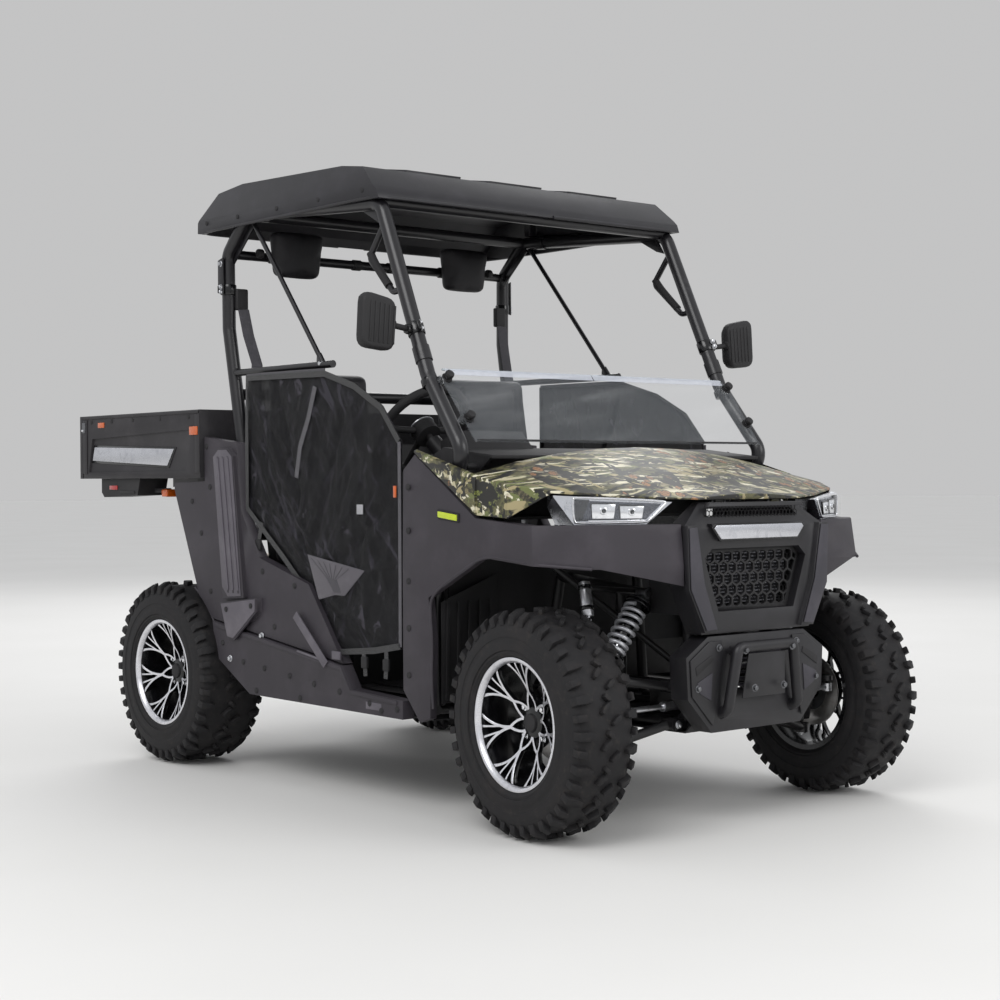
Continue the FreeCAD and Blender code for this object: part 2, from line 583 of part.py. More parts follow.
def side_members():
    """Uprights, braces, sill tube, arm ears and hinge ears of the left side, in welding order."""
    nose_y = NOSE_FRAME_Y
    brace = BRACE_TUBE
    members = [
        rod_member(V(NOSE_RAIL_X, nose_y, 640), V(NOSE_RAIL_X, 400, 698), LONG_TUBE),
        rod_member(V(NOSE_RAIL_X, 130, RAIL_Z), V(NOSE_RAIL_X, 130, 668), brace),
        rod_member(V(NOSE_RAIL_X, 400, 698), V(RAIL_X, 430, RAIL_Z), brace),
        rod_member(V(NOSE_RAIL_X, nose_y, FRONT_UPPER_PIVOT_Z), V(NOSE_RAIL_X, 130, FRONT_UPPER_PIVOT_Z), LINK_TUBE),
        rod_member(V(TAIL_RAIL_X, 1482, 880), V(TAIL_RAIL_X, 2352, 908.5), LONG_TUBE),
        rod_member(V(TAIL_RAIL_X, 1745, RAIL_Z), V(TAIL_RAIL_X, 1745, 888), brace),
        rod_member(V(TAIL_RAIL_X, 2066, RAIL_Z), V(TAIL_RAIL_X, 2012, 895), brace),
        rod_member(V(TAIL_RAIL_X, 1745, REAR_UPPER_PIVOT_Z), V(TAIL_RAIL_X, 2066, REAR_UPPER_PIVOT_Z), LINK_TUBE),
        rod_member(V(RAIL_X, 1460, RAIL_Z), V(TAIL_RAIL_X, 1482, 880), brace),
        rod_member(V(POST_X, 470, SILL_TUBE_Z), V(POST_X, 1440, SILL_TUBE_Z), SILL_TUBE),
        rod_member(V(RAIL_X, 490, RAIL_Z), V(POST_X, 490, SILL_TUBE_Z), OUTRIGGER_TUBE),
        rod_member(V(RAIL_X, 1420, RAIL_Z), V(POST_X, 1420, SILL_TUBE_Z), OUTRIGGER_TUBE),
        rod_member(V(NOSE_RAIL_X, nose_y, 600), V(NOSE_RAIL_X, -212 + RUNNING_GAP, 600), 12),
        rod_member(V(NOSE_RAIL_X, nose_y, 420), V(NOSE_RAIL_X, -254 + RUNNING_GAP, 420), 14),
        rod_member(V(BED_HINGE_X, 1745, 889), V(BED_HINGE_X, 1745, 977.7), 18),
    ]
    for sign in (-1, 1):
        front_y = sign * ARM_HALF_SPREAD
        rear_y = REAR_AXLE_Y + sign * REAR_ARM_HALF_SPREAD
        members += pivot_ears(NOSE_RAIL_X, ARM_PIVOT_X, front_y, FRONT_UPPER_PIVOT_Z)
        members += pivot_ears(NOSE_RAIL_X, ARM_PIVOT_X, front_y, FRONT_LOWER_PIVOT_Z)
        members += pivot_ears(TAIL_RAIL_X, REAR_PIVOT_X, rear_y, REAR_UPPER_PIVOT_Z)
        members += pivot_ears(TAIL_RAIL_X, REAR_PIVOT_X, rear_y, REAR_LOWER_PIVOT_Z)
    return members


def bed_hinge(side):
    """Two ears and the pin that the bed tips on, as one piece."""
    ears = []
    for sign in (-1, 1):
        x = side * BED_HINGE_X + sign * 26
        ears.append(box(x - 6, x + 6, BED_HINGE_Y - 22, BED_HINGE_Y + 22, 900, BED_HINGE_Z + 20))
    pin = rod(V(side * BED_HINGE_X - 34, BED_HINGE_Y, BED_HINGE_Z), V(side * BED_HINGE_X + 34, BED_HINGE_Y, BED_HINGE_Z),
              BED_PIN_RADIUS)
    solid = fuse(ears + [pin])
    return solid, solid


def cross_members():
    """Tubes that run from side to side, and the plate under the steering rack."""
    shock_bar = SHOCK_TOP_X - EYE_RADIUS - RUNNING_GAP
    rear_shock_bar = REAR_SHOCK_TOP.x - EYE_RADIUS - RUNNING_GAP
    members = []
    for y, z, half in ((NOSE_FRAME_Y, RAIL_Z, NOSE_RAIL_X), (NOSE_FRAME_Y, 640, NOSE_RAIL_X), (130, 655, NOSE_RAIL_X),
                       (430, RAIL_Z, RAIL_X), (SEAT_BOX_Y - 3, RAIL_Z, RAIL_X), (1060, RAIL_Z, RAIL_X),
                       (1320, RAIL_Z, RAIL_X), (1460, RAIL_Z, RAIL_X), (2066, RAIL_Z, TAIL_RAIL_X),
                       (1482, 880, TAIL_RAIL_X), (2330, 908, BED_HINGE_X + 40), (1745, 889, BED_HINGE_X + 16),
                       (FRONT_SHOCK_Y, SHOCK_TOP_Z, shock_bar), (REAR_SHOCK_Y, REAR_SHOCK_TOP.z, rear_shock_bar)):
        members.append(rod_member(V(-half, y, z), V(half, y, z), CROSS_TUBE))
    members.append(plate_member(-NOSE_RAIL_X, NOSE_RAIL_X, RACK_Y - 22, RACK_Y + 22, RACK_PLATE_Z - 8, RACK_PLATE_Z))
    return members


SMALLEST_SOLID = 150.0


def coped(members, before):
    """Each member trimmed a running gap short of those before it, as its own solid."""
    spaces = [space for solid, space in before]
    solids = []
    for solid, space in members:
        touching = [other for other in spaces if other.BoundBox.intersect(solid.BoundBox)]
        trimmed = solid.cut(touching) if touching else solid
        solids += [piece for piece in trimmed.Solids if piece.Volume > SMALLEST_SOLID]
        spaces.append(space)
    return solids


def hitch_receiver():
    """Square socket for a drawbar, hung from the rear cross tube."""
    bore = 25.4
    wall = 6.6
    length = 200.0
    y0 = HITCH_PIN_Y - 165.0
    socket = box(-bore - wall, bore + wall, y0, y0 + length, HITCH_Z - bore - wall, HITCH_Z + bore + wall)
    hollow = box(-bore, bore, y0 + 40, y0 + length + 1, HITCH_Z - bore, HITCH_Z + bore)
    hangers = [box(x - 9, x + 9, 2050, y0 + 36, RAIL_Z - 8, HITCH_Z) for x in (-41, 41)]
    pin_hole = rod(V(-60, HITCH_PIN_Y, HITCH_Z), V(60, HITCH_PIN_Y, HITCH_Z), HITCH_PIN_RADIUS)
    cross_tube = rod(V(-TAIL_RAIL_X, 2066, RAIL_Z), V(TAIL_RAIL_X, 2066, RAIL_Z), CROSS_TUBE + RUNNING_GAP)
    return fuse([socket] + hangers).cut(fuse([hollow, pin_hole, cross_tube]))


HITCH_Z = 412.0
HITCH_PIN_Y = 2250.0
HITCH_PIN_RADIUS = 8.1
BED_PIN_RADIUS = 8.15
REAR_UPPER_PIVOT_Z = 410.0
REAR_LOWER_PIVOT_Z = 294.0


def main_rails():
    return Part.makeCompound([solid for solid, space in rail_members()])


def chassis_frame():
    """Tubes, ears and hinge brackets of the frame, each coped to the rails and to one another."""
    sides = side_members()
    members = sides + [mirrored_member(member) for member in sides] + cross_members()
    members += [bed_hinge(-1), bed_hinge(1)]
    return Part.makeCompound(coped(members, rail_members()))


def skid_plate():
    """Guard under the frame in four sections, the first bent up at its nose."""
    low = RAIL_Z - FRAME_TUBE - RUNNING_GAP - SKID_THICKNESS
    nose = -160.0
    tail = 2120.0
    half = CABIN_HALF_WIDTH - 12.0
    bent = prism_x([(nose - 60, low + 62), (nose, low), (nose + 150, low), (nose + 150, low + SKID_THICKNESS),
                    (nose + 1.5, low + SKID_THICKNESS), (nose - 58, low + 62 + SKID_THICKNESS)], -half, half)
    seams = [nose + 152, 478, 1482, tail]
    flats = [box(-half, half, y0, y1 - 2, low, low + SKID_THICKNESS) for y0, y1 in zip(seams, seams[1:])]
    plan = prism_z([(-190, nose - 70), (190, nose - 70), (210, 300), (260, 480), (half, 540), (half, 1430),
                    (280, 1480), (172, 1690), (172, tail), (-172, tail), (-172, 1690), (-280, 1480),
                    (-half, 1430), (-half, 540),
                    (-260, 480), (-210, 300)], low - 10, low + 100)
    return Part.makeCompound([sheet.common(plan) for sheet in [bent] + flats])


def strip(points, thickness):
    """Closed outline of a bent sheet: the points, then the same line moved by the thickness."""
    offset = []
    for index, (y, z) in enumerate(points):
        before = points[max(index - 1, 0)]
        after = points[min(index + 1, len(points) - 1)]
        dy = after[0] - before[0]
        dz = after[1] - before[1]
        size = math.hypot(dy, dz)
        offset.append((y - dz / size * thickness, z + dy / size * thickness))
    return list(points) + offset[::-1]


TUB_FRONT_Y = 448.0
SEAT_BOX_Y = 935.0
SEAT_BOX_Z = 715.0


def floor_tub():
    """Moulded floor: toe board, flat floor and the low side walls of the footwells."""
    line = [(TUB_FRONT_Y, 800), (TUB_FRONT_Y, 470), (TUB_FRONT_Y + 110, FLOOR_Z),
            (SEAT_BOX_Y - SEAM_GAP, FLOOR_Z)]
    board = prism_x(strip(line, TUB_WALL), -CABIN_HALF_WIDTH, CABIN_HALF_WIDTH)
    ribs = []
    for index in range(9):
        y = TUB_FRONT_Y + 150 + index * 34
        for side in (-1, 1):
            ribs.append(box(side * 350 - 170, side * 350 + 170, y, y + 10,
                            FLOOR_Z + TUB_WALL - 1, FLOOR_Z + TUB_WALL + 4))
    tunnel = prism_y([(-85, FLOOR_Z), (85, FLOOR_Z), (70, FLOOR_Z + 60), (-70, FLOOR_Z + 60)],
                     TUB_FRONT_Y + 100, SEAT_BOX_Y - SEAM_GAP)
    hollow = prism_y([(-79, FLOOR_Z - 1), (79, FLOOR_Z - 1), (64, FLOOR_Z + 54), (-64, FLOOR_Z + 54)],
                     TUB_FRONT_Y + 99, SEAT_BOX_Y)
    bosses = [box(side * 150 - 20, side * 150 + 20, SEAT_BOX_Y - 20, SEAT_BOX_Y - SEAM_GAP,
                  RAIL_Z + CROSS_TUBE + RUNNING_GAP, FLOOR_Z + 1) for side in (-1, 1)]
    return fuse([board, tunnel] + bosses + ribs).cut(hollow)


SEAT_WALL_LOW = (1412.0, 695.0)
SEAT_WALL_HIGH = (1492.0, 1130.0)


def seat_base():
    """Moulded box under the seats and over the engine, open below and behind, with a back wall."""
    rear_y = 1424.0
    outer = prism_x([(SEAT_BOX_Y, FLOOR_Z), (SEAT_BOX_Y + 20, SEAT_BOX_Z), (rear_y, SEAT_BOX_Z),
                     (rear_y, FLOOR_Z)], -CABIN_HALF_WIDTH, CABIN_HALF_WIDTH)
    inner = prism_x([(SEAT_BOX_Y + TUB_WALL, FLOOR_Z - 1), (SEAT_BOX_Y + 20 + TUB_WALL, SEAT_BOX_Z - TUB_WALL),
                     (rear_y + 1, SEAT_BOX_Z - TUB_WALL), (rear_y + 1, FLOOR_Z - 1)],
                    -CABIN_HALF_WIDTH + TUB_WALL, CABIN_HALF_WIDTH - TUB_WALL)
    low_y, low_z = SEAT_WALL_LOW
    high_y, high_z = SEAT_WALL_HIGH
    wall = prism_x([(low_y, low_z), (low_y + 12, low_z), (high_y + 12, high_z), (high_y, high_z)],
                   -CABIN_HALF_WIDTH, CABIN_HALF_WIDTH)
    legs = [box(side * 150 - 20, side * 150 + 20, SEAT_BOX_Y, SEAT_BOX_Y + TUB_WALL,
                RAIL_Z + CROSS_TUBE + RUNNING_GAP, FLOOR_Z + 2) for side in (-1, 1)]
    return fuse([outer.cut(inner), wall] + legs)


ENGINE_FRONT_Y = 985.0
ENGINE_REAR_Y = 1395.0


def engine():
    return box(-190, 190, ENGINE_FRONT_Y, ENGINE_REAR_Y, RAIL_Z + CROSS_TUBE + RUNNING_GAP, 650)


PROP_Z = RAIL_Z + CROSS_TUBE + 14.0


def drive_line():
    """Front and rear drives, the shaft between them, and the four half shafts."""
    low = RAIL_Z - FRAME_TUBE
    front_case = fuse([box(-85, 85, -46, 90, low, 388), rod(V(-100, 0, AXLE_Z), V(100, 0, AXLE_Z), 48)])
    rear_case = fuse([box(-95, 95, REAR_AXLE_Y - 120, REAR_AXLE_Y + 80, low, 388),
                      rod(V(-112, REAR_AXLE_Y, AXLE_Z), V(112, REAR_AXLE_Y, AXLE_Z), 48)])
    prop = fuse([rod(V(0, 85, PROP_Z), V(0, ENGINE_FRONT_Y - RUNNING_GAP, PROP_Z), 11),
                 rod(V(0, ENGINE_REAR_Y + RUNNING_GAP, PROP_Z), V(0, REAR_AXLE_Y - 115, PROP_Z), 11)])
    front_half = rod(V(98, 0, AXLE_Z), V(KINGPIN_X - 34, 0, AXLE_Z), 10)
    front_boot = rod(V(KINGPIN_X - 86, 0, AXLE_Z), V(KINGPIN_X - 40, 0, AXLE_Z), 30)
    rear_half = rod(V(110, REAR_AXLE_Y, AXLE_Z), V(REAR_HUB_X - 24 - RUNNING_GAP, REAR_AXLE_Y, AXLE_Z), 10)
    rear_boot = rod(V(REAR_HUB_X - 84, REAR_AXLE_Y, AXLE_Z),
                    V(REAR_HUB_X - 24 - RUNNING_GAP, REAR_AXLE_Y, AXLE_Z), 32)
    halves = [front_half, front_boot, rear_half, rear_boot]
    return fuse([front_case, rear_case, prop] + halves + [mirror(piece) for piece in halves])


def exhaust():
    can = rod(V(-120, 2290, 640), V(230, 2290, 640), 74)
    pipe = bent_tube([V(60, ENGINE_REAR_Y + RUNNING_GAP, 560), V(60, 1600, 560), V(60, 2240, 640)], 20, 60)
    tail_pipe = rod(V(200, 2290, 640), V(200, 2395, 628), 20)
    straps = [box(x - 12, x + 12, 2322, 2338, 690, 908 - CROSS_TUBE - RUNNING_GAP) for x in (-60, 90)]
    return fuse([can, pipe, tail_pipe] + straps)


# Outer panels

NOSE_Y = -262.0
LAMP_LOW_Z = 873.0


def fender_right():
    """Right front wing: flared side with a faceted nose, arch open, returns along its edges."""
    side = BODY_HALF_WIDTH
    wall = PANEL_WALL
    rear = FENDER_REAR_Y
    inner_x = -NOSE_HALF_WIDTH - RUNNING_GAP
    low = [(-side, rear), (-side, -62), (-565, -172), (inner_x, NOSE_Y), (inner_x, rear)]
    high = [(-side + 6, rear), (-side + 6, -40), (-560, -120), (inner_x, NOSE_Y + 30), (inner_x, rear)]
    outer = loft([[V(x, y, 280) for x, y in low], [V(x, y, 760) for x, y in low],
                  [V(x, y, 1090) for x, y in high]])
    profile = [(rear, 1031), (474, 1076), (190, 891), (-20, LAMP_LOW_Z), (NOSE_Y, LAMP_LOW_Z), (NOSE_Y, 700),
               (-180, 752), (153, 780), (405, 655), (389, 532), (400, 300), (449, SILL_LOW_Z),
               (rear, 374)]
    outer = outer.common(prism_x(profile, -side - 5, -200))
    low_in = [(-side + wall, rear + 20), (-side + wall, -60), (-562, -166), (-200, -282 + 20), (-200, rear + 20)]
    high_in = [(-side + 6 + wall, rear + 20), (-side + 6 + wall, -38), (-556, -114), (-200, -262 + 30),
               (-200, rear + 20)]
    inner = loft([[V(x, y, 270) for x, y in low_in], [V(x, y, 760) for x, y in low_in],
                  [V(x, y, 1095) for x, y in high_in]])
    profile_in = [(rear - 6, 1023), (474, 1069), (192, 884), (-20, LAMP_LOW_Z - 6), (NOSE_Y - 30, LAMP_LOW_Z - 6),
                  (NOSE_Y - 30, 712), (-184, 758), (155, 786), (411, 659), (395, 532), (406, 303), (452, 292),
                  (rear - 6, 378)]
    shell = outer.cut(inner.common(prism_x(profile_in, -side - 5, -150)))
    open_side = prism_z([(-RETURN_X - 20, rear + 50), (-RETURN_X - 20, 130), (-RETURN_X + 11, 60),
                         (-RETURN_X + 11, -30), (-530, -112), (-200, -150), (-200, rear + 50)], 200, 1200)
    tabs = [box(-side + 2, -POST_X - CAGE_TUBE - RUNNING_GAP, 456, 484, z, z + 26) for z in (470, 690)]
    shell = shell.cut(open_side)
    return fuse([shell] + tabs)


def front_fenders():
    return both_sides(fender_right())


def open_channel(profile, depth_x, wall):
    """Side moulding with its outer skin and an inward return all along its outline."""
    side = BODY_HALF_WIDTH
    outer = prism_x(profile, -side + depth_x, -RETURN_X)
    face = polygon([V(0, y, z) for y, z in profile])
    smaller = face.makeOffset2D(-wall)
    inner = smaller.extrude(V(200, 0, 0))
    inner.translate(V(-side + depth_x + wall, 0, 0))
    return outer.cut(inner)


def rear_arch():
    return Part.makeCylinder(TYRE_RADIUS + ARCH_GAP, 400, V(-900, REAR_AXLE_Y, AXLE_Z), V(1, 0, 0))


def rocker_right():
    """Lower side moulding with its sloping step line, down to the sill."""
    front = FENDER_REAR_Y + SEAM_GAP
    profile = [(front, SILL_LOW_Z), (1381, SILL_LOW_Z + 3), (1600, 403), (1617, 520), (850, 422),
               (800, 352), (front, 340)]
    shell = open_channel(profile, 0.0, PANEL_WALL)
    step = prism_x([(560, 338), (800, 350), (850, 420), (1590, 514), (1590, 500), (856, 408), (806, 338),
                    (560, 326)], -BODY_HALF_WIDTH - 4, -BODY_HALF_WIDTH + 3)
    seats_z = SILL_TUBE_Z - SILL_TUBE - RUNNING_GAP
    feet = [box(-RETURN_X, -POST_X + 8, y, y + 30, SILL_LOW_Z + 1, seats_z) for y in (640, 1300)]
    ledge = [box(-RETURN_X - 6, -POST_X + 8, y, y + 30, SILL_LOW_Z + 1, SILL_LOW_Z + 7) for y in (640, 1300)]
    return fuse([shell, step] + feet + ledge).cut(rear_arch())


def side_panel_right():
    """Right rear side panel from the doorway back over the wheel, with its pillar cover."""
    profile = [(850, 427), (1617, 525), (1700, 560), (1882, 970), (1882, 996), (1676, 1000), (1676, 1154),
               (1466, 1130), (1440, 900), (1330, 745), (1040, 668)]
    shell = open_channel(profile, 8.0, PANEL_WALL)
    trim = prism_x([(1466, 1085), (1500, 1112), (1560, 1112), (1595, 1085), (1537, 601), (1404, 608)],
                   -BODY_HALF_WIDTH - 8, -BODY_HALF_WIDTH + 12)
    ridges = [prism_x([(y, 1084), (y + 14, 1084), (y - 50, 622), (y - 64, 622)], -BODY_HALF_WIDTH - 10.5,
                      -BODY_HALF_WIDTH - 7) for y in (1490, 1522, 1554)]
    foot = prism_x([(1544, 587), (1317, 612), (1318, 565), (1456, 463), (1500, 470)],
                   -BODY_HALF_WIDTH - 14, -BODY_HALF_WIDTH - 4.5)
    root = prism_x([(1544, 587), (1317, 612), (1318, 565), (1370, 530), (1525, 548)],
                   -BODY_HALF_WIDTH - 5, -BODY_HALF_WIDTH + 12)
    post = PILLAR_LOW_X + CAGE_TUBE + RUNNING_GAP
    tabs = [box(-BODY_HALF_WIDTH + 10, -post, y, y + 24, z, z + 24) for y, z in ((1468, 660), (1508, 980))]
    return fuse([shell, trim, foot, root] + ridges + tabs).cut(rear_arch())


def rockers():
    return both_sides(rocker_right())


def rear_side_panels():
    return both_sides(side_panel_right())


NOSE_HALF_WIDTH = 300.0
NOSE_BACK_Y = -212.0


def grille_outline(gap):
    """Hexagonal nose opening in the XZ plane, each edge moved inward by the gap."""
    return [(-216 + gap, 774), (-186 + gap, 801 - gap), (186 - gap, 801 - gap), (216 - gap, 774),
            (161 - gap, 622 + gap), (-161 + gap, 622 + gap)]


def fascia():
    """Nose moulding between the wings: frame of the grille, badge bar, slot and two struts."""
    outline = [(-200, 933), (200, 933), (292, 868), (292, 690), (230, 560), (-230, 560), (-292, 690),
               (-292, 868)]
    plate = prism_y(outline, NOSE_Y, NOSE_BACK_Y + 12)
    slant = prism_x([(NOSE_Y - 5, 860), (NOSE_Y, 860), (NOSE_Y + 45, 945), (NOSE_Y - 5, 945)], -310, 310)
    opening = prism_y(grille_outline(0.0), NOSE_Y - 10, NOSE_BACK_Y + 30)
    slot = prism_y([(-178, 914), (178, 914), (200, 892), (-200, 892)], NOSE_Y - 10, NOSE_BACK_Y + 30)
    hollow = prism_y([(-190, 925), (190, 925), (280, 862), (280, 696), (224, 572), (-224, 572), (-280, 696),
                      (-280, 862)], NOSE_BACK_Y, NOSE_BACK_Y + 30)
    badge = prism_y([(-200, 872), (200, 872), (162, 822), (-162, 822)], NOSE_Y - 12, NOSE_Y + 6)
    strut = prism_y([(-NOSE_HALF_WIDTH, 868), (-262, 868), (-232, 700), (-178, 566), (-232, 566), (-296, 690)],
                    NOSE_Y - 16, NOSE_Y + 6)
    ears = []
    notches = []
    for side in (-1, 1):
        for sign in (-1, 1):
            x = side * HOOD_HINGE_X + sign * 26
            ears.append(box(x - 4, x + 4, HOOD_HINGE_Y - 5, HOOD_HINGE_Y + 14, HOOD_HINGE_Z - 18, HOOD_HINGE_Z + 5))
        notches.append(box(side * HOOD_HINGE_X - 31, side * HOOD_HINGE_X + 31, NOSE_Y, NOSE_BACK_Y + 13,
                           HOOD_HINGE_Z - 14, HOOD_HINGE_Z + 10))
        ears.append(rod(V(side * HOOD_HINGE_X - 28, HOOD_HINGE_Y, HOOD_HINGE_Z),
                        V(side * HOOD_HINGE_X + 28, HOOD_HINGE_Y, HOOD_HINGE_Z), 4))
    return fuse([plate.cut([slant, opening, slot, hollow] + notches), badge, strut, mirror(strut)] + ears)


MESH_PITCH = 37.0
MESH_BAR = 6.0


def grille():
    """Hexagonal mesh panel set in the nose opening."""
    y0 = NOSE_Y + 26.0
    y1 = y0 + 8.0
    cell = (MESH_PITCH - MESH_BAR) / math.sqrt(3.0)
    cells = []
    for row in range(7):
        z = 616.0 + row * MESH_PITCH * math.sqrt(3.0) / 2.0
        shift = (row % 2) * MESH_PITCH / 2.0
        for column in range(-6, 7):
            x = column * MESH_PITCH + shift
            corners = [(x + cell * math.sin(math.radians(60 * k)), z + cell * math.cos(math.radians(60 * k)))
                       for k in range(6)]
            cells.append(prism_y(corners, y0 - 2, y1 + 2))
    inside = prism_y(grille_outline(11.0), y0 - 2, y1 + 2)
    panel = prism_y(grille_outline(RUNNING_GAP), y0, y1)
    return panel.cut(Part.makeCompound(cells).common(inside))


def bumper():
    """Lower nose: moulded shell, centre guard plate and the bent guard bar in front."""
    outline = [(-205, 553), (205, 553), (293, 498), (286, 380), (190, 280), (-190, 280), (-286, 380),
               (-293, 498)]
    shell = prism_y(outline, NOSE_Y, NOSE_Y + 66)
    hollow = prism_y([(-195, 543), (195, 543), (281, 492), (276, 384), (184, 290), (-184, 290), (-276, 384),
                      (-281, 492)], NOSE_Y + 8, NOSE_Y + 80)
    window = prism_y([(-120, 400), (120, 400), (104, 500), (-104, 500)], NOSE_Y - 5, NOSE_Y + 20)
    reach = NOSE_OVERHANG - 16.0
    bar = bent_tube([V(-150, NOSE_Y + 6, 330), V(-150, NOSE_Y - 26, 345), V(-118, -reach, 520),
                     V(118, -reach, 520), V(150, NOSE_Y - 26, 345), V(150, NOSE_Y + 6, 330)], 16, 22)
    ties = [rod(V(x, -reach, 512), V(x, NOSE_Y + 6, 506), 12) for x in (-112, 112)]
    return fuse([shell.cut([hollow, window]), bar] + ties)


def headlight_right():
    """Slanted lamp with two round bowls that follows the nose between the wing top and the lid."""
    outline = prism_y([(-600, 956), (-306, 935), (-374, LAMP_LOW_Z + RUNNING_GAP), (-560, LAMP_LOW_Z + RUNNING_GAP)],
                      -300, 100)
    band = prism_z([(-598, -50), (-560, -94), (-300, -226), (-300, -150), (-540, -20), (-585, -10)], 800, 1000)
    lamp = outline.common(band)
    across = V(260, -132, 0).normalize()
    outward = V(across.y, -across.x, 0)
    bowls = []
    for share in (0.36, 0.66):
        middle = V(-560, -94, 910) + across * (share * 291.6)
        bowls.append(rod(middle + outward * 5, middle - outward * 14, 23))
    return lamp.cut(bowls)


def headlights():
    return both_sides(headlight_right())


def radiator():
    core = box(-185, 185, -206, -176, 640, 800)
    stays = [box(x - 10, x + 10, -178, -169.3, 614, 800) for x in (-NOSE_RAIL_X + 4, NOSE_RAIL_X - 4)]
    return fuse([core] + stays)


HOOD_HINGE_Y = -222.0
HOOD_HINGE_Z = 936.0
HOOD_HINGE_X = 120.0
HOOD_STATIONS = [
    (-238.0, 205.0, 944.0, 956.0, 4.0),
    (-150.0, 392.0, 952.0, 980.0, 6.0),
    (-42.0, BODY_HALF_WIDTH - 86.0, 968.0, 1014.0, 6.0),
    (60.0, BODY_HALF_WIDTH - 12.0, 986.0, 1046.0, 94.0),
    (190.0, BODY_HALF_WIDTH - 6.0, 1012.0, 1090.0, 112.0),
    (214.0, BODY_HALF_WIDTH - 6.0, 1016.0, 1098.0, 108.0),
]


def hood_section(y, half, z_side, z_mid, skirt, inset):
    """Crowned cross section with a skirt down each side; inset gives the inner skin."""
    count = 8
    points = []
    width = half - inset
    for index in range(count + 1):
        share = index / count * 2.0 - 1.0
        crown = (z_mid - z_side) * (1.0 - share * share)
        points.append(V(width * share, y, z_side + crown - inset))
    low = z_side - skirt - (8 if inset else 0)
    points.append(V(width, y, low))
    points.append(V(-width, y, low))
    return points


def hood():
    """Crowned lid hinged at its nose, with side skirts and two wings beside the pillars."""
    outer = loft([hood_section(*station, 0.0) for station in HOOD_STATIONS])
    first = HOOD_STATIONS[0]
    last = HOOD_STATIONS[-1]
    inner_stations = [(first[0] + HOOD_WALL,) + first[1:]] + HOOD_STATIONS[1:-1] + [(last[0] + 5.0,) + last[1:]]
    inner = loft([hood_section(*station, HOOD_WALL) for station in inner_stations])
    shell = outer.cut(inner)
    side_x = BODY_HALF_WIDTH
    wing = loft([[V(-side_x, 188, 905), V(-side_x, 470, 1082), V(-side_x, 470, 1088), V(-side_x, 188, 1010)],
                 [V(11 - side_x, 188, 905), V(11 - side_x, 470, 1082), V(11 - side_x, 470, 1092), V(11 - side_x, 188, 1014)]])
    pieces = [shell, wing, mirror(wing)]
    for side in (-1, 1):
        x = side * HOOD_HINGE_X
        barrel = rod(V(x - 16, HOOD_HINGE_Y, HOOD_HINGE_Z), V(x + 16, HOOD_HINGE_Y, HOOD_HINGE_Z), 8)
        stem = box(x - 16, x + 16, HOOD_HINGE_Y - 4, HOOD_HINGE_Y + 4, HOOD_HINGE_Z, HOOD_HINGE_Z + 17)
        pieces += [barrel, stem]
    pin_bore = rod(V(-200, HOOD_HINGE_Y, HOOD_HINGE_Z), V(200, HOOD_HINGE_Y, HOOD_HINGE_Z), 4 + PIN_GAP)
    return fuse(pieces).cut(pin_bore)


# Cab

PILLAR_LOW_X = PILLAR_X - 10.0
PILLAR_FOOT = V(PILLAR_X + 24, 289, 1085)
PILLAR_MID = V(PILLAR_X + 12, 466, 1313)
PILLAR_HEAD = V(PILLAR_X, 712, 1856)
HIP_RAIL_Z = 1372.0
HEADREST_BAR = 16.0
HEADREST_BAR_Z = 1784.0
REAR_POST_Y = 1600.0


CLAMP_RADIUS = 26.5
CLAMP_HALF = 24.0


def cage_hoop(side):
    """One side of the cage in three tubes that are bolted end to end at two clamp joints."""
    foot_z = SILL_TUBE_Z + SILL_TUBE + RUNNING_GAP
    line = [V(POST_X, 470, foot_z), V(POST_X, 470, 760), PILLAR_FOOT, PILLAR_MID, PILLAR_HEAD,
            V(PILLAR_X, 1470, 1905), V(PILLAR_X, REAR_POST_Y, 1780), V(PILLAR_X - 2, REAR_POST_Y, 1524),
            V(PILLAR_LOW_X, 1530, 1130), V(PILLAR_LOW_X, 1465, 560), V(POST_X, 1440, foot_z)]
    line = [V(side * point.x, point.y, point.z) for point in line]
    space = tube_space(line, CAGE_TUBE, 60)
    whole = [bent_tube(line, CAGE_TUBE, 60)]
    seams = []
    for start, end, share in ((line[3], line[4], 0.115), (line[4], line[5], 0.86)):
        along = (end - start).normalize()
        middle = start + (end - start) * share
        whole.append(rod(middle - along * CLAMP_HALF, middle + along * CLAMP_HALF, CLAMP_RADIUS))
        seams.append(rod(middle, middle + along * RUNNING_GAP, CLAMP_RADIUS * 2))
    return fuse(whole).cut(seams).Solids, space


def roll_cage():
    """Tube cage: two side hoops, cross bars, headrest bar, hip rails, stays and handles."""
    solids = []
    hoops = []
    for side in (-1, 1):
        tubes, space = cage_hoop(side)
        solids += tubes
        hoops.append((None, space))
    members = []
    for side in (-1, 1):
        def at(x, y, z):
            return V(side * x, y, z)
        members.append(rod_member(at(PILLAR_X - 2, 1594, HIP_RAIL_Z), at(PILLAR_X + 10, 960, HIP_RAIL_Z), 12))
        members.append(rod_member(at(PILLAR_X + 10, 1012, HIP_RAIL_Z), at(PILLAR_X + 2, 1452, 1896), 8))
        handle = [at(PILLAR_X + 2, 690, 1790), at(PILLAR_X + 2, 770, 1690), at(PILLAR_X + 8, 640, 1574),
                  at(PILLAR_X + 10, 584, 1580)]
        members.append((bent_tube(handle, 10, 22), tube_space(handle, 10, 22)))
    for y, z, radius in ((722, 1862, 20), (1470, 1905, 20), (REAR_POST_Y, HEADREST_BAR_Z, HEADREST_BAR),
                         (1560, 1300, 20)):
        members.append(rod_member(V(-PILLAR_X, y, z), V(PILLAR_X, y, z), radius))
    return Part.makeCompound(solids + coped(members, hoops))


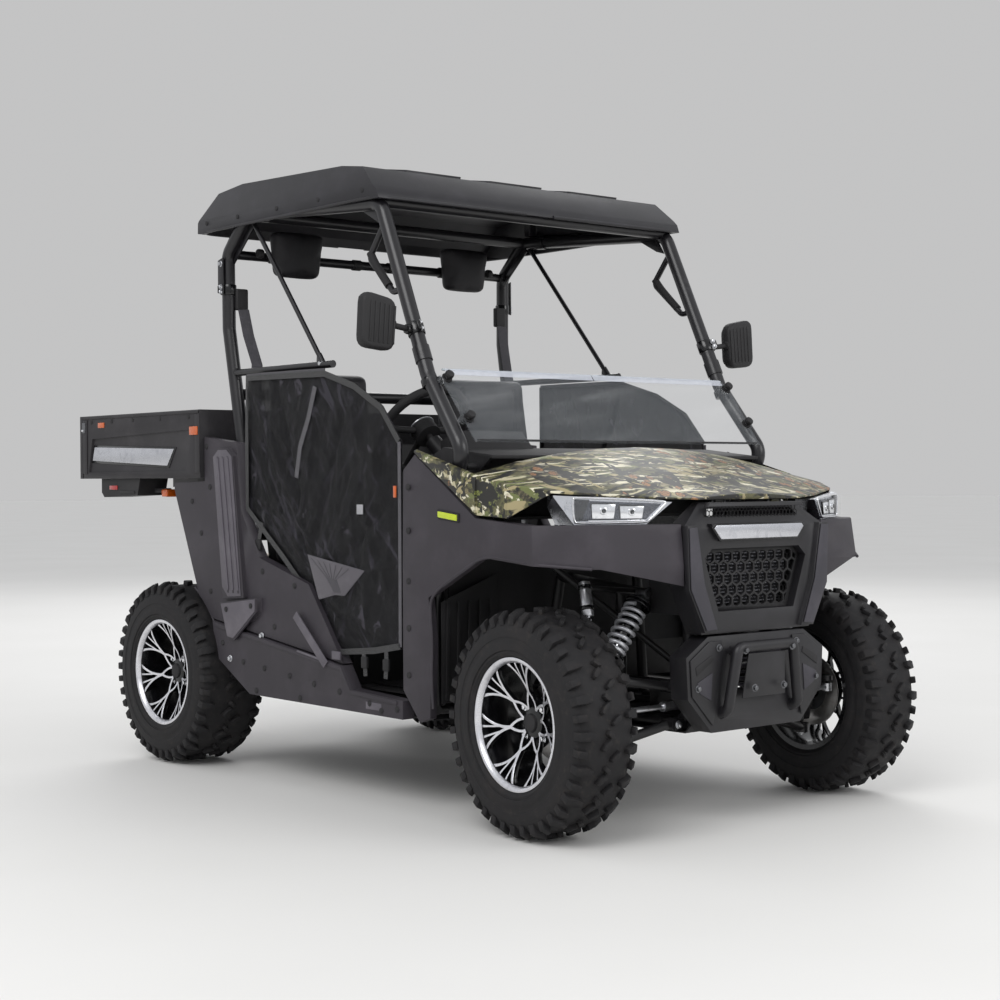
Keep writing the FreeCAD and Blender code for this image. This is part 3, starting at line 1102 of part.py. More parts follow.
ROOF_HALF = PILLAR_X + 38.0


def roof():
    """Ribbed hard top with bevelled edges and a rear drop lip, on four pads over the cage."""
    half = ROOF_HALF
    outline = [(676, 1864), (688, 1892), (779, 1974), (900, 1992), (1493, 2012), (1640, 1996), (1738, 1902),
               (1744, 1866), (1732, 1864)]
    outer = prism_x(outline, -half, half)
    inner = prism_x([(690, 1850), (702, 1888), (785, 1965), (900, 1983), (1493, 2003), (1634, 1987),
                     (1728, 1896), (1731, 1850)], -half + 10, half - 10)
    plan = prism_y([(-half + 5, 1840), (-half, 1910), (-half + 36, 2030), (half - 36, 2030), (half, 1910),
                    (half - 5, 1840)], 600, 1800)
    plan_in = prism_y([(-half + 9, 1840), (-half + 7, 1910), (-half + 42, 2021), (half - 42, 2021),
                       (half - 7, 1910), (half - 9, 1840)], 600, 1800)
    hollow = inner.common(plan_in)
    pieces = [outer.common(plan).cut(hollow)]
    for x in (-350.0, 0.0, 350.0):
        rib = prism_x([(790, 1983), (900, 2000), (1493, 2019), (1648, 2003), (1716, 1944), (1600, 1970),
                       (900, 1970), (800, 1950)], x - 110, x + 110)
        pieces.append(rib.common(plan).cut(hollow))
    for side in (-1, 1):
        for y, top in ((900.0, 1984.0), (1400.0, 2003.0)):
            share = (y + 15 - PILLAR_HEAD.y) / (1470 - PILLAR_HEAD.y)
            seat = PILLAR_HEAD.z + (1905 - PILLAR_HEAD.z) * share + CAGE_TUBE * 1.003 + RUNNING_GAP + 1
            x0 = side * (PILLAR_X - 16) - 16
            pieces.append(box(x0, x0 + 32, y, y + 30, seat, top))
    return fuse(pieces)


def windscreen():
    """Half height clear screen in front of the pillars, on four clamp pads."""
    run = V(0, PILLAR_MID.y - PILLAR_FOOT.y, PILLAR_MID.z - PILLAR_FOOT.z)
    normal = V(0, -run.z, run.y).normalize()
    low = V(0, PILLAR_FOOT.y, PILLAR_FOOT.z) + run * 0.03 + normal * (CAGE_TUBE + 7.0)
    rise = V(0, run.y, run.z) * 0.97
    outline = [(-612, 0), (612, 0), (622, 0.88), (600, 1), (-600, 1), (-622, 0.88)]
    corners = [low + rise * share + V(x, 0, 0) for x, share in outline]
    pieces = [polygon(corners).extrude(normal * SCREEN_WALL)]
    for side in (-1, 1):
        for share in (0.3, 0.85):
            point = low + rise * share + V(side * 618, 0, 0)
            pieces.append(rod(point - normal * (7.0 - RUNNING_GAP), point + normal * (SCREEN_WALL + 4), 13))
    return fuse(pieces)


def mirror_right():
    """Wing mirror: tapered head on an arm from the pillar."""
    front = [(-846, 1388), (-722, 1374), (-712, 1540), (-836, 1562)]
    back = [(-834, 1400), (-732, 1388), (-724, 1528), (-826, 1548)]
    head = loft([[V(x, 498, z) for x, z in front], [V(x, 534, z) for x, z in front],
                 [V(x, 552, z) for x, z in back]])
    share = (1452 - PILLAR_MID.z) / (PILLAR_HEAD.z - PILLAR_MID.z)
    pillar = PILLAR_MID + (PILLAR_HEAD - PILLAR_MID) * share
    start = V(-pillar.x - CAGE_TUBE - 1.6, pillar.y, pillar.z)
    return fuse([head, rod(start, V(-735, 520, 1462), 10), rod(start, start - V(10, 0, 0), 16)])


def mirrors():
    return both_sides(mirror_right())


HEADREST_X = 378.0
HEADREST_HALF = 122.0


def headrests():
    """Two padded blocks with eased corners, in front of the cross bar."""
    rear = REAR_POST_Y - HEADREST_BAR - RUNNING_GAP
    side_form = prism_x([(rear - 58, 1706), (rear, 1706), (rear, 1876), (rear - 50, 1882), (rear - 78, 1862),
                         (rear - 84, 1740)], -HEADREST_HALF, HEADREST_HALF)
    half = HEADREST_HALF
    front_form = prism_y([(-half + 26, 1700), (half - 26, 1700), (half, 1738), (half, 1846), (half - 34, 1890),
                          (34 - half, 1890), (-half, 1846), (-half, 1738)], rear - 90, rear + 5)
    block = side_form.common(front_form)
    blocks = []
    for side in (-1, 1):
        placed = block.copy()
        placed.translate(V(side * HEADREST_X, 0, 0))
        blocks.append(placed)
    return Part.makeCompound(blocks)


def seats():
    """Two bucket seats: cushion and back, as closed soft solids."""
    pieces = []
    low_y, low_z = SEAT_WALL_LOW
    high_y, high_z = SEAT_WALL_HIGH
    lean = (high_y - low_y) / (high_z - low_z)
    for side in (-1, 1):
        x0 = side * SEAT_CENTRE_X - SEAT_HALF_WIDTH
        x1 = side * SEAT_CENTRE_X + SEAT_HALF_WIDTH
        top = SEAT_BOX_Z + RUNNING_GAP
        cushion = prism_x([(905, top + 30), (958, top), (1408, top), (1408, top + 92), (1000, top + 128),
                           (925, top + 116)], x0, x1)
        foot_z = top + 106
        foot_y = low_y + (foot_z - low_z) * lean - RUNNING_GAP
        back = prism_x([(1318, foot_z + 24), (foot_y, foot_z), (high_y - RUNNING_GAP, high_z), (1496, 1240),
                        (1482, 1384), (1432, 1398), (1380, 1352)], x0, x1)
        pieces += [cushion, back]
    return Part.makeCompound(pieces)


def dashboard():
    """Instrument panel across the cab, open below, with its cowl, ends and pillar brackets."""
    line = [(240, 1072), (470, 1098), (560, 1060), (585, 985), (545, 880), (515, 874)]
    half = CABIN_HALF_WIDTH
    panel = prism_x(strip(line, -10.0), -half, half)
    cowl = prism_x([(440, 1090), (500, 1150), (580, 1120), (584, 1000), (560, 1000)],
                   -SEAT_CENTRE_X - 130, -SEAT_CENTRE_X + 130)
    ends = [prism_x(line, x - 4, x + 4) for x in (-half + 4, half - 4)]
    share = (1040 - 760) / (PILLAR_FOOT.z - 760)
    pillar = V(POST_X, 470, 760) + (PILLAR_FOOT - V(POST_X, 470, 760)) * share
    bracket = rod(V(half - 4, pillar.y, pillar.z), V(pillar.x - CAGE_TUBE - 1.65, pillar.y, pillar.z), 10)
    column = rod(WHEEL_HUB - COLUMN_AXIS * 440.0, WHEEL_HUB, COLUMN_RADIUS + RUNNING_GAP)
    return fuse([panel, cowl, bracket, mirror(bracket)] + ends).cut(column)


NET_X = RETURN_X - 10.0


def net_right():
    """Side net as a thin closed sheet in the doorway, under the hip rail."""
    outline = [(1425, HIP_RAIL_Z - 12.6), (960, HIP_RAIL_Z - 12.6), (660, 1232), (600, 1150), (572, 490),
               (700, 470), (902, 452), (1045, 690), (1330, 770), (1420, 900)]
    return prism_x(outline, -NET_X - NET_THICKNESS, -NET_X)


def side_nets():
    return both_sides(net_right())


# Cargo bed

BED_HALF = BODY_HALF_WIDTH + 4.0
BED_REAR_Y = TAIL_Y - 4.0 - TAILGATE_THICKNESS - TAILGATE_GAP
GATE_Y = TAIL_Y - 4.0 - TAILGATE_THICKNESS
GATE_HINGE_Y = GATE_Y + 4.0
GATE_HINGE_Z = BED_FLOOR_Z - 6.0
GATE_PIN = 5.0
GATE_BARREL = 9.0


def cargo_bed():
    """Dump box: floor, three walls with rolled rims and recesses, ribs, beams and hinge lugs."""
    outer = box(-BED_HALF, BED_HALF, BED_FRONT_Y, BED_REAR_Y, BED_FLOOR_Z, BED_TOP_Z)
    inner = box(-BED_HALF + BED_WALL, BED_HALF - BED_WALL, BED_FRONT_Y + BED_WALL, BED_REAR_Y + 10,
                BED_FLOOR_Z + BED_WALL, BED_TOP_Z + 10)
    cuts = [inner]
    pieces = []
    for side in (-1, 1):
        x0 = side * (BED_HALF + 1)
        cuts.append(prism_x([(BED_FRONT_Y + 90, BED_FLOOR_Z + 24), (BED_REAR_Y - 40, BED_FLOOR_Z + 24),
                             (BED_REAR_Y - 70, BED_FLOOR_Z + 150), (BED_FRONT_Y + 60, BED_FLOOR_Z + 170)],
                            x0, x0 - side * 9))
        x = side * BED_HINGE_X
        pieces.append(box(x - 14, x + 14, BED_HINGE_Y - 24, BED_HINGE_Y + 24, BED_HINGE_Z - 20, BED_FLOOR_Z + 4))
        pieces.append(box(x - 12, x + 12, BED_FRONT_Y + 40, BED_REAR_Y - 20, BED_FLOOR_Z - 34, BED_FLOOR_Z + 2))
        for sign in (-1, 1):
            ear = side * GATE_HINGE_X + sign * 30
            pieces.append(box(ear - 3, ear + 3, BED_REAR_Y - 40, GATE_HINGE_Y + 8, GATE_HINGE_Z - 9,
                              GATE_HINGE_Z + 1))
            pieces.append(box(ear - 3, ear + 3, BED_REAR_Y - 40, BED_REAR_Y, GATE_HINGE_Z - 9, BED_FLOOR_Z + 2))
        pieces.append(rod(V(side * GATE_HINGE_X - 32, GATE_HINGE_Y, GATE_HINGE_Z),
                          V(side * GATE_HINGE_X + 32, GATE_HINGE_Y, GATE_HINGE_Z), GATE_PIN))
    for x in range(-560, 561, 140):
        pieces.append(box(x - 14, x + 14, BED_FRONT_Y + BED_WALL - 1, BED_REAR_Y, BED_FLOOR_Z + BED_WALL - 1,
                          BED_FLOOR_Z + BED_WALL + 6))
    bores = [rod(V(side * BED_HINGE_X - 20, BED_HINGE_Y, BED_HINGE_Z),
                 V(side * BED_HINGE_X + 20, BED_HINGE_Y, BED_HINGE_Z), BED_PIN_RADIUS + PIN_GAP)
             for side in (-1, 1)]
    return fuse([outer.cut(cuts)] + pieces).cut(bores)


def tailgate():
    """Drop gate: ribbed panel on two hinge barrels, with its latch handle."""
    panel = box(-BED_HALF, BED_HALF, GATE_Y, TAIL_Y - 4, BED_FLOOR_Z, BED_TOP_Z)
    recess = box(-BED_HALF + 60, BED_HALF - 60, TAIL_Y - 10, TAIL_Y, BED_FLOOR_Z + 40, BED_TOP_Z - 50)
    notches = []
    barrels = []
    for side in (-1, 1):
        x = side * GATE_HINGE_X
        barrels.append(rod(V(x - 24, GATE_HINGE_Y, GATE_HINGE_Z), V(x + 24, GATE_HINGE_Y, GATE_HINGE_Z),
                           GATE_BARREL))
        barrels.append(rod(V(x - 60, GATE_HINGE_Y, GATE_HINGE_Z), V(x + 60, GATE_HINGE_Y, GATE_HINGE_Z),
                           GATE_PIN + PIN_GAP))
        for sign in (-1, 1):
            ear = x + sign * 30
            notches.append(box(ear - 6, ear + 6, GATE_Y - 1, TAIL_Y, BED_FLOOR_Z - 1, BED_FLOOR_Z + 16))
    handle = box(-60, 60, TAIL_Y - 12, TAIL_Y, BED_TOP_Z - 90, BED_TOP_Z - 64)
    body = fuse([panel.cut([recess] + notches), handle, barrels[0], barrels[2]])
    return body.cut([barrels[1], barrels[3]])


def tail_lamps():
    pieces = []
    for side in (-1, 1):
        x0 = min(side * 560, side * 676)
        top = BED_FLOOR_Z - RUNNING_GAP
        pieces.append(prism_x([(2130, top), (2150, 950), (2405, 942), (2425, 960), (2425, top)], x0, x0 + 116))
    return Part.makeCompound(pieces)


def wheel(side, width, centre_x, y, hub_in):
    centre = V(centre_x, y, AXLE_Z)
    made_tyre = tyre(width, centre)
    made_rim = rim(width, centre, hub_in)
    if side < 0:
        made_tyre = mirror(made_tyre)
        made_rim = mirror(made_rim)
    return made_tyre, made_rim


def make_all():
    os.makedirs("parts", exist_ok=True)
    save("main_rails", main_rails())
    save("chassis_frame", chassis_frame())
    save("hitch_receiver", hitch_receiver())
    save("skid_plate", skid_plate())
    save("floor_tub", floor_tub())
    save("seat_base", seat_base())
    save("engine", engine())
    save("drive_line", drive_line())
    save("exhaust", exhaust())
    save("front_arms", front_arms())
    save("front_shocks", front_shocks())
    save("rear_arms", rear_arms())
    save("rear_shocks", rear_shocks())
    save("steering_rack", steering_rack())
    save("tie_rods", tie_rods())
    save("steering_column", steering_column())
    save("steering_wheel", steering_wheel())
    for side, name in ((-1, "right"), (1, "left")):
        made_tyre, made_rim = wheel(side, FRONT_TYRE_WIDTH, FRONT_TRACK_HALF, 0.0, FRONT_HUB_IN)
        save("tyre_front_" + name, steered(made_tyre, side))
        save("rim_front_" + name, steered(made_rim, side))
        made_tyre, made_rim = wheel(side, REAR_TYRE_WIDTH, REAR_TRACK_HALF, REAR_AXLE_Y, REAR_HUB_IN)
        save("tyre_rear_" + name, made_tyre)
        save("rim_rear_" + name, made_rim)
        upright = knuckle() if side > 0 else mirror(knuckle())
        save("knuckle_" + name, steered(upright, side))
    save("front_fenders", front_fenders())
    save("rockers", rockers())
    save("rear_side_panels", rear_side_panels())
    save("fascia", fascia())
    save("grille", grille())
    save("radiator", radiator())
    save("bumper", bumper())
    save("headlights", headlights())
    save("hood", hood())
    save("dashboard", dashboard())
    save("windscreen", windscreen())
    save("roll_cage", roll_cage())
    save("roof", roof())
    save("mirrors", mirrors())
    save("headrests", headrests())
    save("seats", seats())
    save("side_nets", side_nets())
    save("cargo_bed", cargo_bed())
    save("tailgate", tailgate())
    save("tail_lamps", tail_lamps())


make_all()
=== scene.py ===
import json
import math

import bpy
from mathutils import Matrix, Vector, noise


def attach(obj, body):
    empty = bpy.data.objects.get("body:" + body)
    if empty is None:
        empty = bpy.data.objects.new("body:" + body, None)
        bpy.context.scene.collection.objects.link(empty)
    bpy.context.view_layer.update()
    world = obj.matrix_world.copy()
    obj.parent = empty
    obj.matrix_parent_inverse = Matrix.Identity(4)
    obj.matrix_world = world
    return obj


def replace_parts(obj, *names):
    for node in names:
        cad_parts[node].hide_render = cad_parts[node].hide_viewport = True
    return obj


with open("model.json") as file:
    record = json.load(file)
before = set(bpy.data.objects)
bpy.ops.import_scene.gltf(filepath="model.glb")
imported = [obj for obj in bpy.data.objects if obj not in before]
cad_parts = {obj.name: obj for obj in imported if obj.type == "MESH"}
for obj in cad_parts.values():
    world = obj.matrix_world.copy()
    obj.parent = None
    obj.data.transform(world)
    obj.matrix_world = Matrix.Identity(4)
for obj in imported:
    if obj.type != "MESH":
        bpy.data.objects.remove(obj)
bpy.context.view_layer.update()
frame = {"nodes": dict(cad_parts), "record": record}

# Side by side utility vehicle. Places are written in millimetres from the middle of the front axle
# on the ground: x to the vehicle's left, y rearwards, z up.
AXLE_TO_ORIGIN = 1122.67
AXLE_HEIGHT = 322.0
WHEELBASE = 1912.0
KINGPIN_X = 505.0
SEAT_X = 365.0
HEADREST_X = 378.0
MAT_X = 330.0
NODES = frame["nodes"]
BODY_OF = {node: body for body, nodes in frame["record"]["behaviour"]["bodies"].items() for node in nodes}


def at(x, y, z):
    """Point in metres in the frame's own axes."""
    return Vector((x, y - AXLE_TO_ORIGIN, z)) * 0.001


# Finishes

def rgb(red, green, blue):
    """Linear colour of an 8 bit screen colour."""
    def linear(value):
        share = value / 255.0
        return share / 12.92 if share <= 0.04045 else ((share + 0.055) / 1.055) ** 2.4
    return (linear(red), linear(green), linear(blue), 1.0)


class Signal:
    """A node's output socket that takes part in Python arithmetic."""

    def __init__(self, finish, socket):
        self.finish = finish
        self.socket = socket

    def maths(self, operation, first, second=None):
        return self.finish.node("ShaderNodeMath", {"operation": operation}, {0: first, 1: second})

    def __add__(self, other):
        return self.maths("ADD", self, other)

    def __radd__(self, other):
        return self.maths("ADD", other, self)

    def __sub__(self, other):
        return self.maths("SUBTRACT", self, other)

    def __rsub__(self, other):
        return self.maths("SUBTRACT", other, self)

    def __mul__(self, other):
        return self.maths("MULTIPLY", self, other)

    def __rmul__(self, other):
        return self.maths("MULTIPLY", other, self)

    def sine(self):
        return self.maths("SINE", self)

    def band(self, low, high):
        """0 below low, 1 above high, smooth between them."""
        settings = {"interpolation_type": "SMOOTHSTEP"}
        return self.finish.node("ShaderNodeMapRange", settings, {0: self, 1: low, 2: high})


class Finish:
    """A procedural material on one Principled shader."""

    def __init__(self, name, **constants):
        self.material = bpy.data.materials.new(name)
        self.material.use_nodes = True
        self.tree = self.material.node_tree
        self.shader = self.tree.nodes["Principled BSDF"]
        for key, value in constants.items():
            self.shader.inputs[key.replace("_", " ")].default_value = value

    def node(self, kind, settings, inputs, output=0):
        made = self.tree.nodes.new(kind)
        for key, value in settings.items():
            setattr(made, key, value)
        for key, value in inputs.items():
            if isinstance(value, Signal):
                self.tree.links.new(value.socket, made.inputs[key])
            elif value is not None:
                made.inputs[key].default_value = value
        return Signal(self, made.outputs[output])

    def place(self, scale=(1.0, 1.0, 1.0), turn=(0.0, 0.0, 0.0)):
        """Object coordinates, turned and then stretched."""
        raw = self.node("ShaderNodeTexCoord", {}, {}, "Object")
        turned = self.node("ShaderNodeMapping", {}, {"Vector": raw, "Rotation": turn})
        return self.node("ShaderNodeMapping", {}, {"Vector": turned, "Scale": scale})

    def parts(self, vector):
        split = self.node("ShaderNodeSeparateXYZ", {}, {0: vector})
        return [Signal(self, output) for output in split.socket.node.outputs]

    def noise(self, vector, scale, detail=2.0, roughness=0.5, distortion=0.0):
        return self.node("ShaderNodeTexNoise", {}, {"Vector": vector, "Scale": scale, "Detail": detail,
                                                    "Roughness": roughness, "Distortion": distortion})

    def cells(self, vector, scale):
        """Distance to the nearest of scattered points."""
        return self.node("ShaderNodeTexVoronoi", {}, {"Vector": vector, "Scale": scale}, "Distance")

    def blend(self, share, first, second):
        """Colour mix."""
        return self.node("ShaderNodeMix", {"data_type": "RGBA"}, {0: share, 6: first, 7: second}, 2)

    def ramp(self, value, stops):
        made = self.node("ShaderNodeValToRGB", {}, {0: value})
        ramp = made.socket.node.color_ramp
        while len(ramp.elements) < len(stops):
            ramp.elements.new(1.0)
        for element, (position, colour) in zip(ramp.elements, stops):
            element.position = position
            element.color = colour
        return made

    def bump(self, height, strength, distance):
        return self.node("ShaderNodeBump", {}, {"Strength": strength, "Distance": distance, "Height": height})

    def wire(self, **signals):
        for key, value in signals.items():
            self.tree.links.new(value.socket, self.shader.inputs[key.replace("_", " ")])
        return self.material


def moulded_plastic(name, colour, pale, roughness=0.52, grain=1100.0):
    """Grained moulding with faint paler dust patches and paler rubbed patches, both scattered by noise."""
    finish = Finish(name, IOR=1.49)
    place = finish.place()
    grain_height = finish.noise(place, grain, 3.0, 0.6)
    cloud = finish.noise(place, 7.0, 5.0, 0.65)
    fleck = finish.noise(place, 160.0, 3.0, 0.7)
    share = cloud.band(0.42, 0.78) * 0.55 + fleck.band(0.58, 0.9) * 0.4
    scuff = finish.noise(finish.place((30.0, 4.0, 55.0)), 3.0, 6.0, 0.7).band(0.63, 0.8)
    return finish.wire(Base_Color=finish.blend(share + scuff * 0.15, colour, pale),
                       Roughness=roughness + 0.16 * grain_height - 0.12 * scuff,
                       Normal=finish.bump(grain_height, 0.35, 0.0005))


def coated_metal(name, colour, pale, roughness=0.32, metallic=0.0):
    """Powder coat: slight orange peel, soft gloss, a few dull rubbed marks."""
    finish = Finish(name, Metallic=metallic)
    place = finish.place()
    peel = finish.noise(place, 420.0, 2.0)
    rub = finish.noise(place, 24.0, 6.0, 0.7).band(0.55, 0.8)
    return finish.wire(Base_Color=finish.blend(rub * 0.5, colour, pale), Roughness=roughness + 0.2 * rub,
                       Normal=finish.bump(peel, 0.18, 0.0004))


def bare_metal(name, colour, dark, roughness=0.3, lines=(1.0, 1.0, 1.0), line_scale=300.0, depth=0.0002):
    """Bare metal with tool marks along one way and darker staining."""
    finish = Finish(name, Metallic=1.0)
    marks = finish.noise(finish.place(lines), line_scale, 3.0, 0.6)
    stain = finish.noise(finish.place(), 30.0, 5.0, 0.6).band(0.45, 0.8)
    return finish.wire(Base_Color=finish.blend(stain * 0.6, colour, dark),
                       Roughness=roughness + 0.18 * stain + 0.12 * marks,
                       Normal=finish.bump(marks, 0.25, depth))


def cast_metal(name, colour, dark):
    finish = Finish(name, Metallic=1.0)
    place = finish.place()
    sand = finish.noise(place, 700.0, 3.0, 0.7)
    stain = finish.noise(place, 14.0, 6.0, 0.65).band(0.4, 0.75)
    return finish.wire(Base_Color=finish.blend(stain, colour, dark), Roughness=0.42 + 0.25 * stain,
                       Normal=finish.bump(sand, 0.5, 0.0006))


def woodland_lid():
    """Printed woodland camouflage: reed streaks, leaves and bark in olive, cream and rust, lacquered."""
    finish = Finish("woodland_camouflage", Coat_Roughness=0.3, Coat_Weight=0.22, Roughness=0.5)
    place = finish.place()
    soft = finish.noise(finish.place((5.0, 9.0, 7.0), (0.0, 0.0, 0.3)), 1.0, 6.0, 0.66, 0.8)
    colour = finish.ramp(soft, [(0.30, rgb(21, 20, 15)), (0.41, rgb(56, 55, 34)), (0.47, rgb(98, 95, 60)),
                                (0.53, rgb(30, 28, 20)), (0.60, rgb(138, 128, 92)), (0.66, rgb(62, 55, 36)),
                                (0.76, rgb(24, 22, 16))])
    streak_looks = (((4.0, 26.0, 20.0), (0.0, 0.0, 0.12), rgb(186, 178, 146), 0.58, 0.60),
                    ((5.0, 34.0, 26.0), (0.1, 0.0, -0.30), rgb(17, 16, 13), 0.53, 0.55),
                    ((4.0, 30.0, 22.0), (0.0, 0.2, 0.50), rgb(102, 108, 60), 0.58, 0.60),
                    ((6.0, 48.0, 34.0), (0.2, 0.0, 0.26), rgb(216, 210, 186), 0.59, 0.61),
                    ((16.0, 5.0, 12.0), (0.0, 0.1, 0.25), rgb(22, 20, 15), 0.58, 0.60),
                    ((26.0, 6.0, 16.0), (0.2, 0.0, -0.45), rgb(158, 146, 108), 0.62, 0.64))
    for scale, turn, tint, low, high in streak_looks:
        streak = finish.noise(finish.place(scale, turn), 1.0, 4.0, 0.55, 0.6).band(low, high)
        colour = finish.blend(streak, colour, tint)
    leaf_looks = (((16.0, 30.0, 26.0), (0.0, 0.0, 0.7), 0.26, rgb(112, 118, 56), rgb(60, 64, 30), 6.0,
                   0.54), ((36.0, 20.0, 30.0), (0.0, 0.0, -0.5), 0.26, rgb(228, 220, 190),
                           rgb(148, 134, 98), 9.0, 0.57), ((14.0, 26.0, 22.0), (0.3, 0.0, 1.9), 0.40,
                                                           rgb(160, 112, 68), rgb(98, 70, 44), 3.0, 0.56))
    for scale, turn, reach, bright, dim, cluster, start in leaf_looks:
        spot = finish.place(scale, turn)
        wobble = finish.noise(spot, 2.6, 3.0) * 0.26
        distance = finish.cells(spot, 1.0) + wobble
        patch = finish.noise(finish.place((cluster, cluster * 1.3, cluster), turn), 1.0, 2.0)
        patch = patch.band(start, start + 0.04)
        inside = (1.0 - distance.band(reach + 0.06, reach + 0.10)) * patch
        rim = (1.0 - distance.band(reach + 0.12, reach + 0.17)) * patch
        vein = finish.noise(spot, 9.0, 3.0).band(0.42, 0.58)
        colour = finish.blend(rim, colour, rgb(20, 19, 13))
        colour = finish.blend(inside, colour, finish.blend(vein, dim, bright))
    peel = finish.noise(place, 260.0, 2.0)
    return finish.wire(Base_Color=colour, Normal=finish.bump(peel, 0.08, 0.0004))


def tyre_rubber():
    """Black tread compound with chalky streaks and browner dusty patches, both scattered by noise."""
    finish = Finish("tyre_rubber", Specular_IOR_Level=0.34)
    place = finish.place()
    pit = finish.noise(place, 600.0, 3.0, 0.7)
    dust = finish.noise(place, 11.0, 6.0, 0.7).band(0.46, 0.8)
    streak = finish.noise(place, 55.0, 4.0, 0.6).band(0.5, 0.85)
    colour = finish.blend(dust * 0.7, rgb(23, 22, 24), rgb(47, 44, 44))
    return finish.wire(Base_Color=finish.blend(streak * 0.3, colour, rgb(70, 64, 58)),
                       Roughness=0.62 + 0.2 * dust + 0.1 * pit, Normal=finish.bump(pit, 0.4, 0.0006))


def stretched_vinyl():
    """Seat cover vinyl: pebble grain and soft sheen."""
    finish = Finish("seat_vinyl", Specular_IOR_Level=0.4)
    place = finish.place()
    pebble = finish.cells(place, 640.0)
    soft = finish.noise(place, 9.0, 5.0, 0.6)
    return finish.wire(Base_Color=finish.blend(soft.band(0.4, 0.8), rgb(27, 26, 29), rgb(44, 42, 46)),
                       Roughness=0.46 + 0.2 * soft, Normal=finish.bump(pebble, 0.35, 0.0006))


def net_weave():
    """Fine woven mesh: crossing yarns as bump, painted highlights along its creases and on the yarns, seen
    through a little.
    """
    finish = Finish("net_weave", Specular_IOR_Level=0.22)
    _, y, z = finish.parts(finish.place())
    yarn = (y * 2300.0).sine() * (z * 2300.0).sine()
    colour = rgb(12, 12, 14)
    # The pale streaks are painted highlights: they stand for light caught along the mesh's crumpled creases.
    for scale, turn, tint, low, high in (((1.0, 24.0, 5.0), (0.62, 0.0, 0.0), rgb(52, 50, 57), 0.56, 0.66),
                                         ((1.0, 30.0, 7.0), (-0.5, 0.0, 0.0), rgb(40, 38, 44), 0.57, 0.66),
                                         ((1.0, 16.0, 12.0), (0.1, 0.0, 0.0), rgb(70, 67, 75), 0.62, 0.70)):
        streak = finish.noise(finish.place(scale, turn), 1.0, 6.0, 0.62, 0.7)
        colour = finish.blend(streak.band(low, high), colour, tint)
    # The yarns' crossings are blended paler: a painted highlight on the weave.
    finish.wire(Base_Color=finish.blend(yarn.band(-0.2, 0.9) * 0.2, colour, rgb(50, 48, 54)))
    finish.wire(Alpha=0.86 - 0.16 * yarn.band(0.2, 0.9))
    return finish.wire(Roughness=0.5 + 0.1 * yarn, Normal=finish.bump(yarn, 0.4, 0.0005))


def webbing(name, colour, pale):
    """Woven strap with diagonal ribs."""
    finish = Finish(name, Sheen_Weight=0.2)
    _, y, z = finish.parts(finish.place())
    rib = ((y + z * 0.6) * 3400.0).sine()
    rub = finish.noise(finish.place(), 40.0, 5.0, 0.6)
    return finish.wire(Base_Color=finish.blend(rib.band(-0.4, 1.0) * 0.6 + rub.band(0.5, 0.8) * 0.3, colour,
                                               pale), Roughness=0.66 + 0.1 * rub,
                       Normal=finish.bump(rib, 0.6, 0.0005))


def lens(name, colour, alpha, roughness=0.04, rib=900.0, strength=0.05):
    """Moulded lens with a fine fluted pattern."""
    finish = Finish(name, IOR=1.5, Alpha=alpha, Coat_Weight=0.6)
    x, _, z = finish.parts(finish.place())
    flute = (x * rib).sine() * (z * rib).sine()
    haze = finish.noise(finish.place(), 60.0, 3.0)
    shade = tuple(channel * 0.75 for channel in colour[:3]) + (1.0,)
    return finish.wire(Base_Color=finish.blend(haze, shade, colour), Roughness=roughness + 0.06 * haze,
                       Normal=finish.bump(flute, strength, 0.0006))


def clear_sheet():
    """Clear polycarbonate: nearly no colour, faint wipe marks that catch the light."""
    finish = Finish("clear_polycarbonate", IOR=1.5, Coat_Weight=0.1)
    wipe = finish.noise(finish.place((3.0, 14.0, 22.0), (0.4, 0.2, 0.0)), 1.0, 4.0, 0.5)
    return finish.wire(Base_Color=finish.blend(wipe.band(0.4, 0.8), rgb(206, 212, 218), rgb(236, 240, 244)),
                       Alpha=0.055 + 0.025 * wipe.band(0.45, 0.85), Roughness=0.03 + 0.05 * wipe)


def finned_core():
    """Cooler core: flat tubes across fine folded fins, with painted shade in the gaps between them."""
    finish = Finish("cooler_core", Metallic=1.0)
    x, _, z = finish.parts(finish.place())
    fin = (x * 2600.0).sine()
    tube = (z * 620.0).sine().band(0.2, 0.5)
    # Dark between the paler tubes: painted shade of the finned rows.
    colour = finish.blend(tube, rgb(46, 46, 50), rgb(150, 150, 156))
    # Darker lines between the fins: painted shade of the gaps.
    return finish.wire(Base_Color=finish.blend(fin.band(0.0, 1.0) * 0.5, colour, rgb(22, 22, 24)),
                       Roughness=0.4 + 0.2 * fin, Normal=finish.bump(tube + fin * 0.4, 0.6, 0.001))


def floor_paint():
    """Pale studio floor with barely seen clouds."""
    finish = Finish("studio_floor", Roughness=0.7)
    cloud = finish.noise(finish.place(), 0.8, 3.0)
    return finish.wire(Base_Color=finish.blend(cloud, rgb(222, 221, 218), rgb(230, 229, 227)))


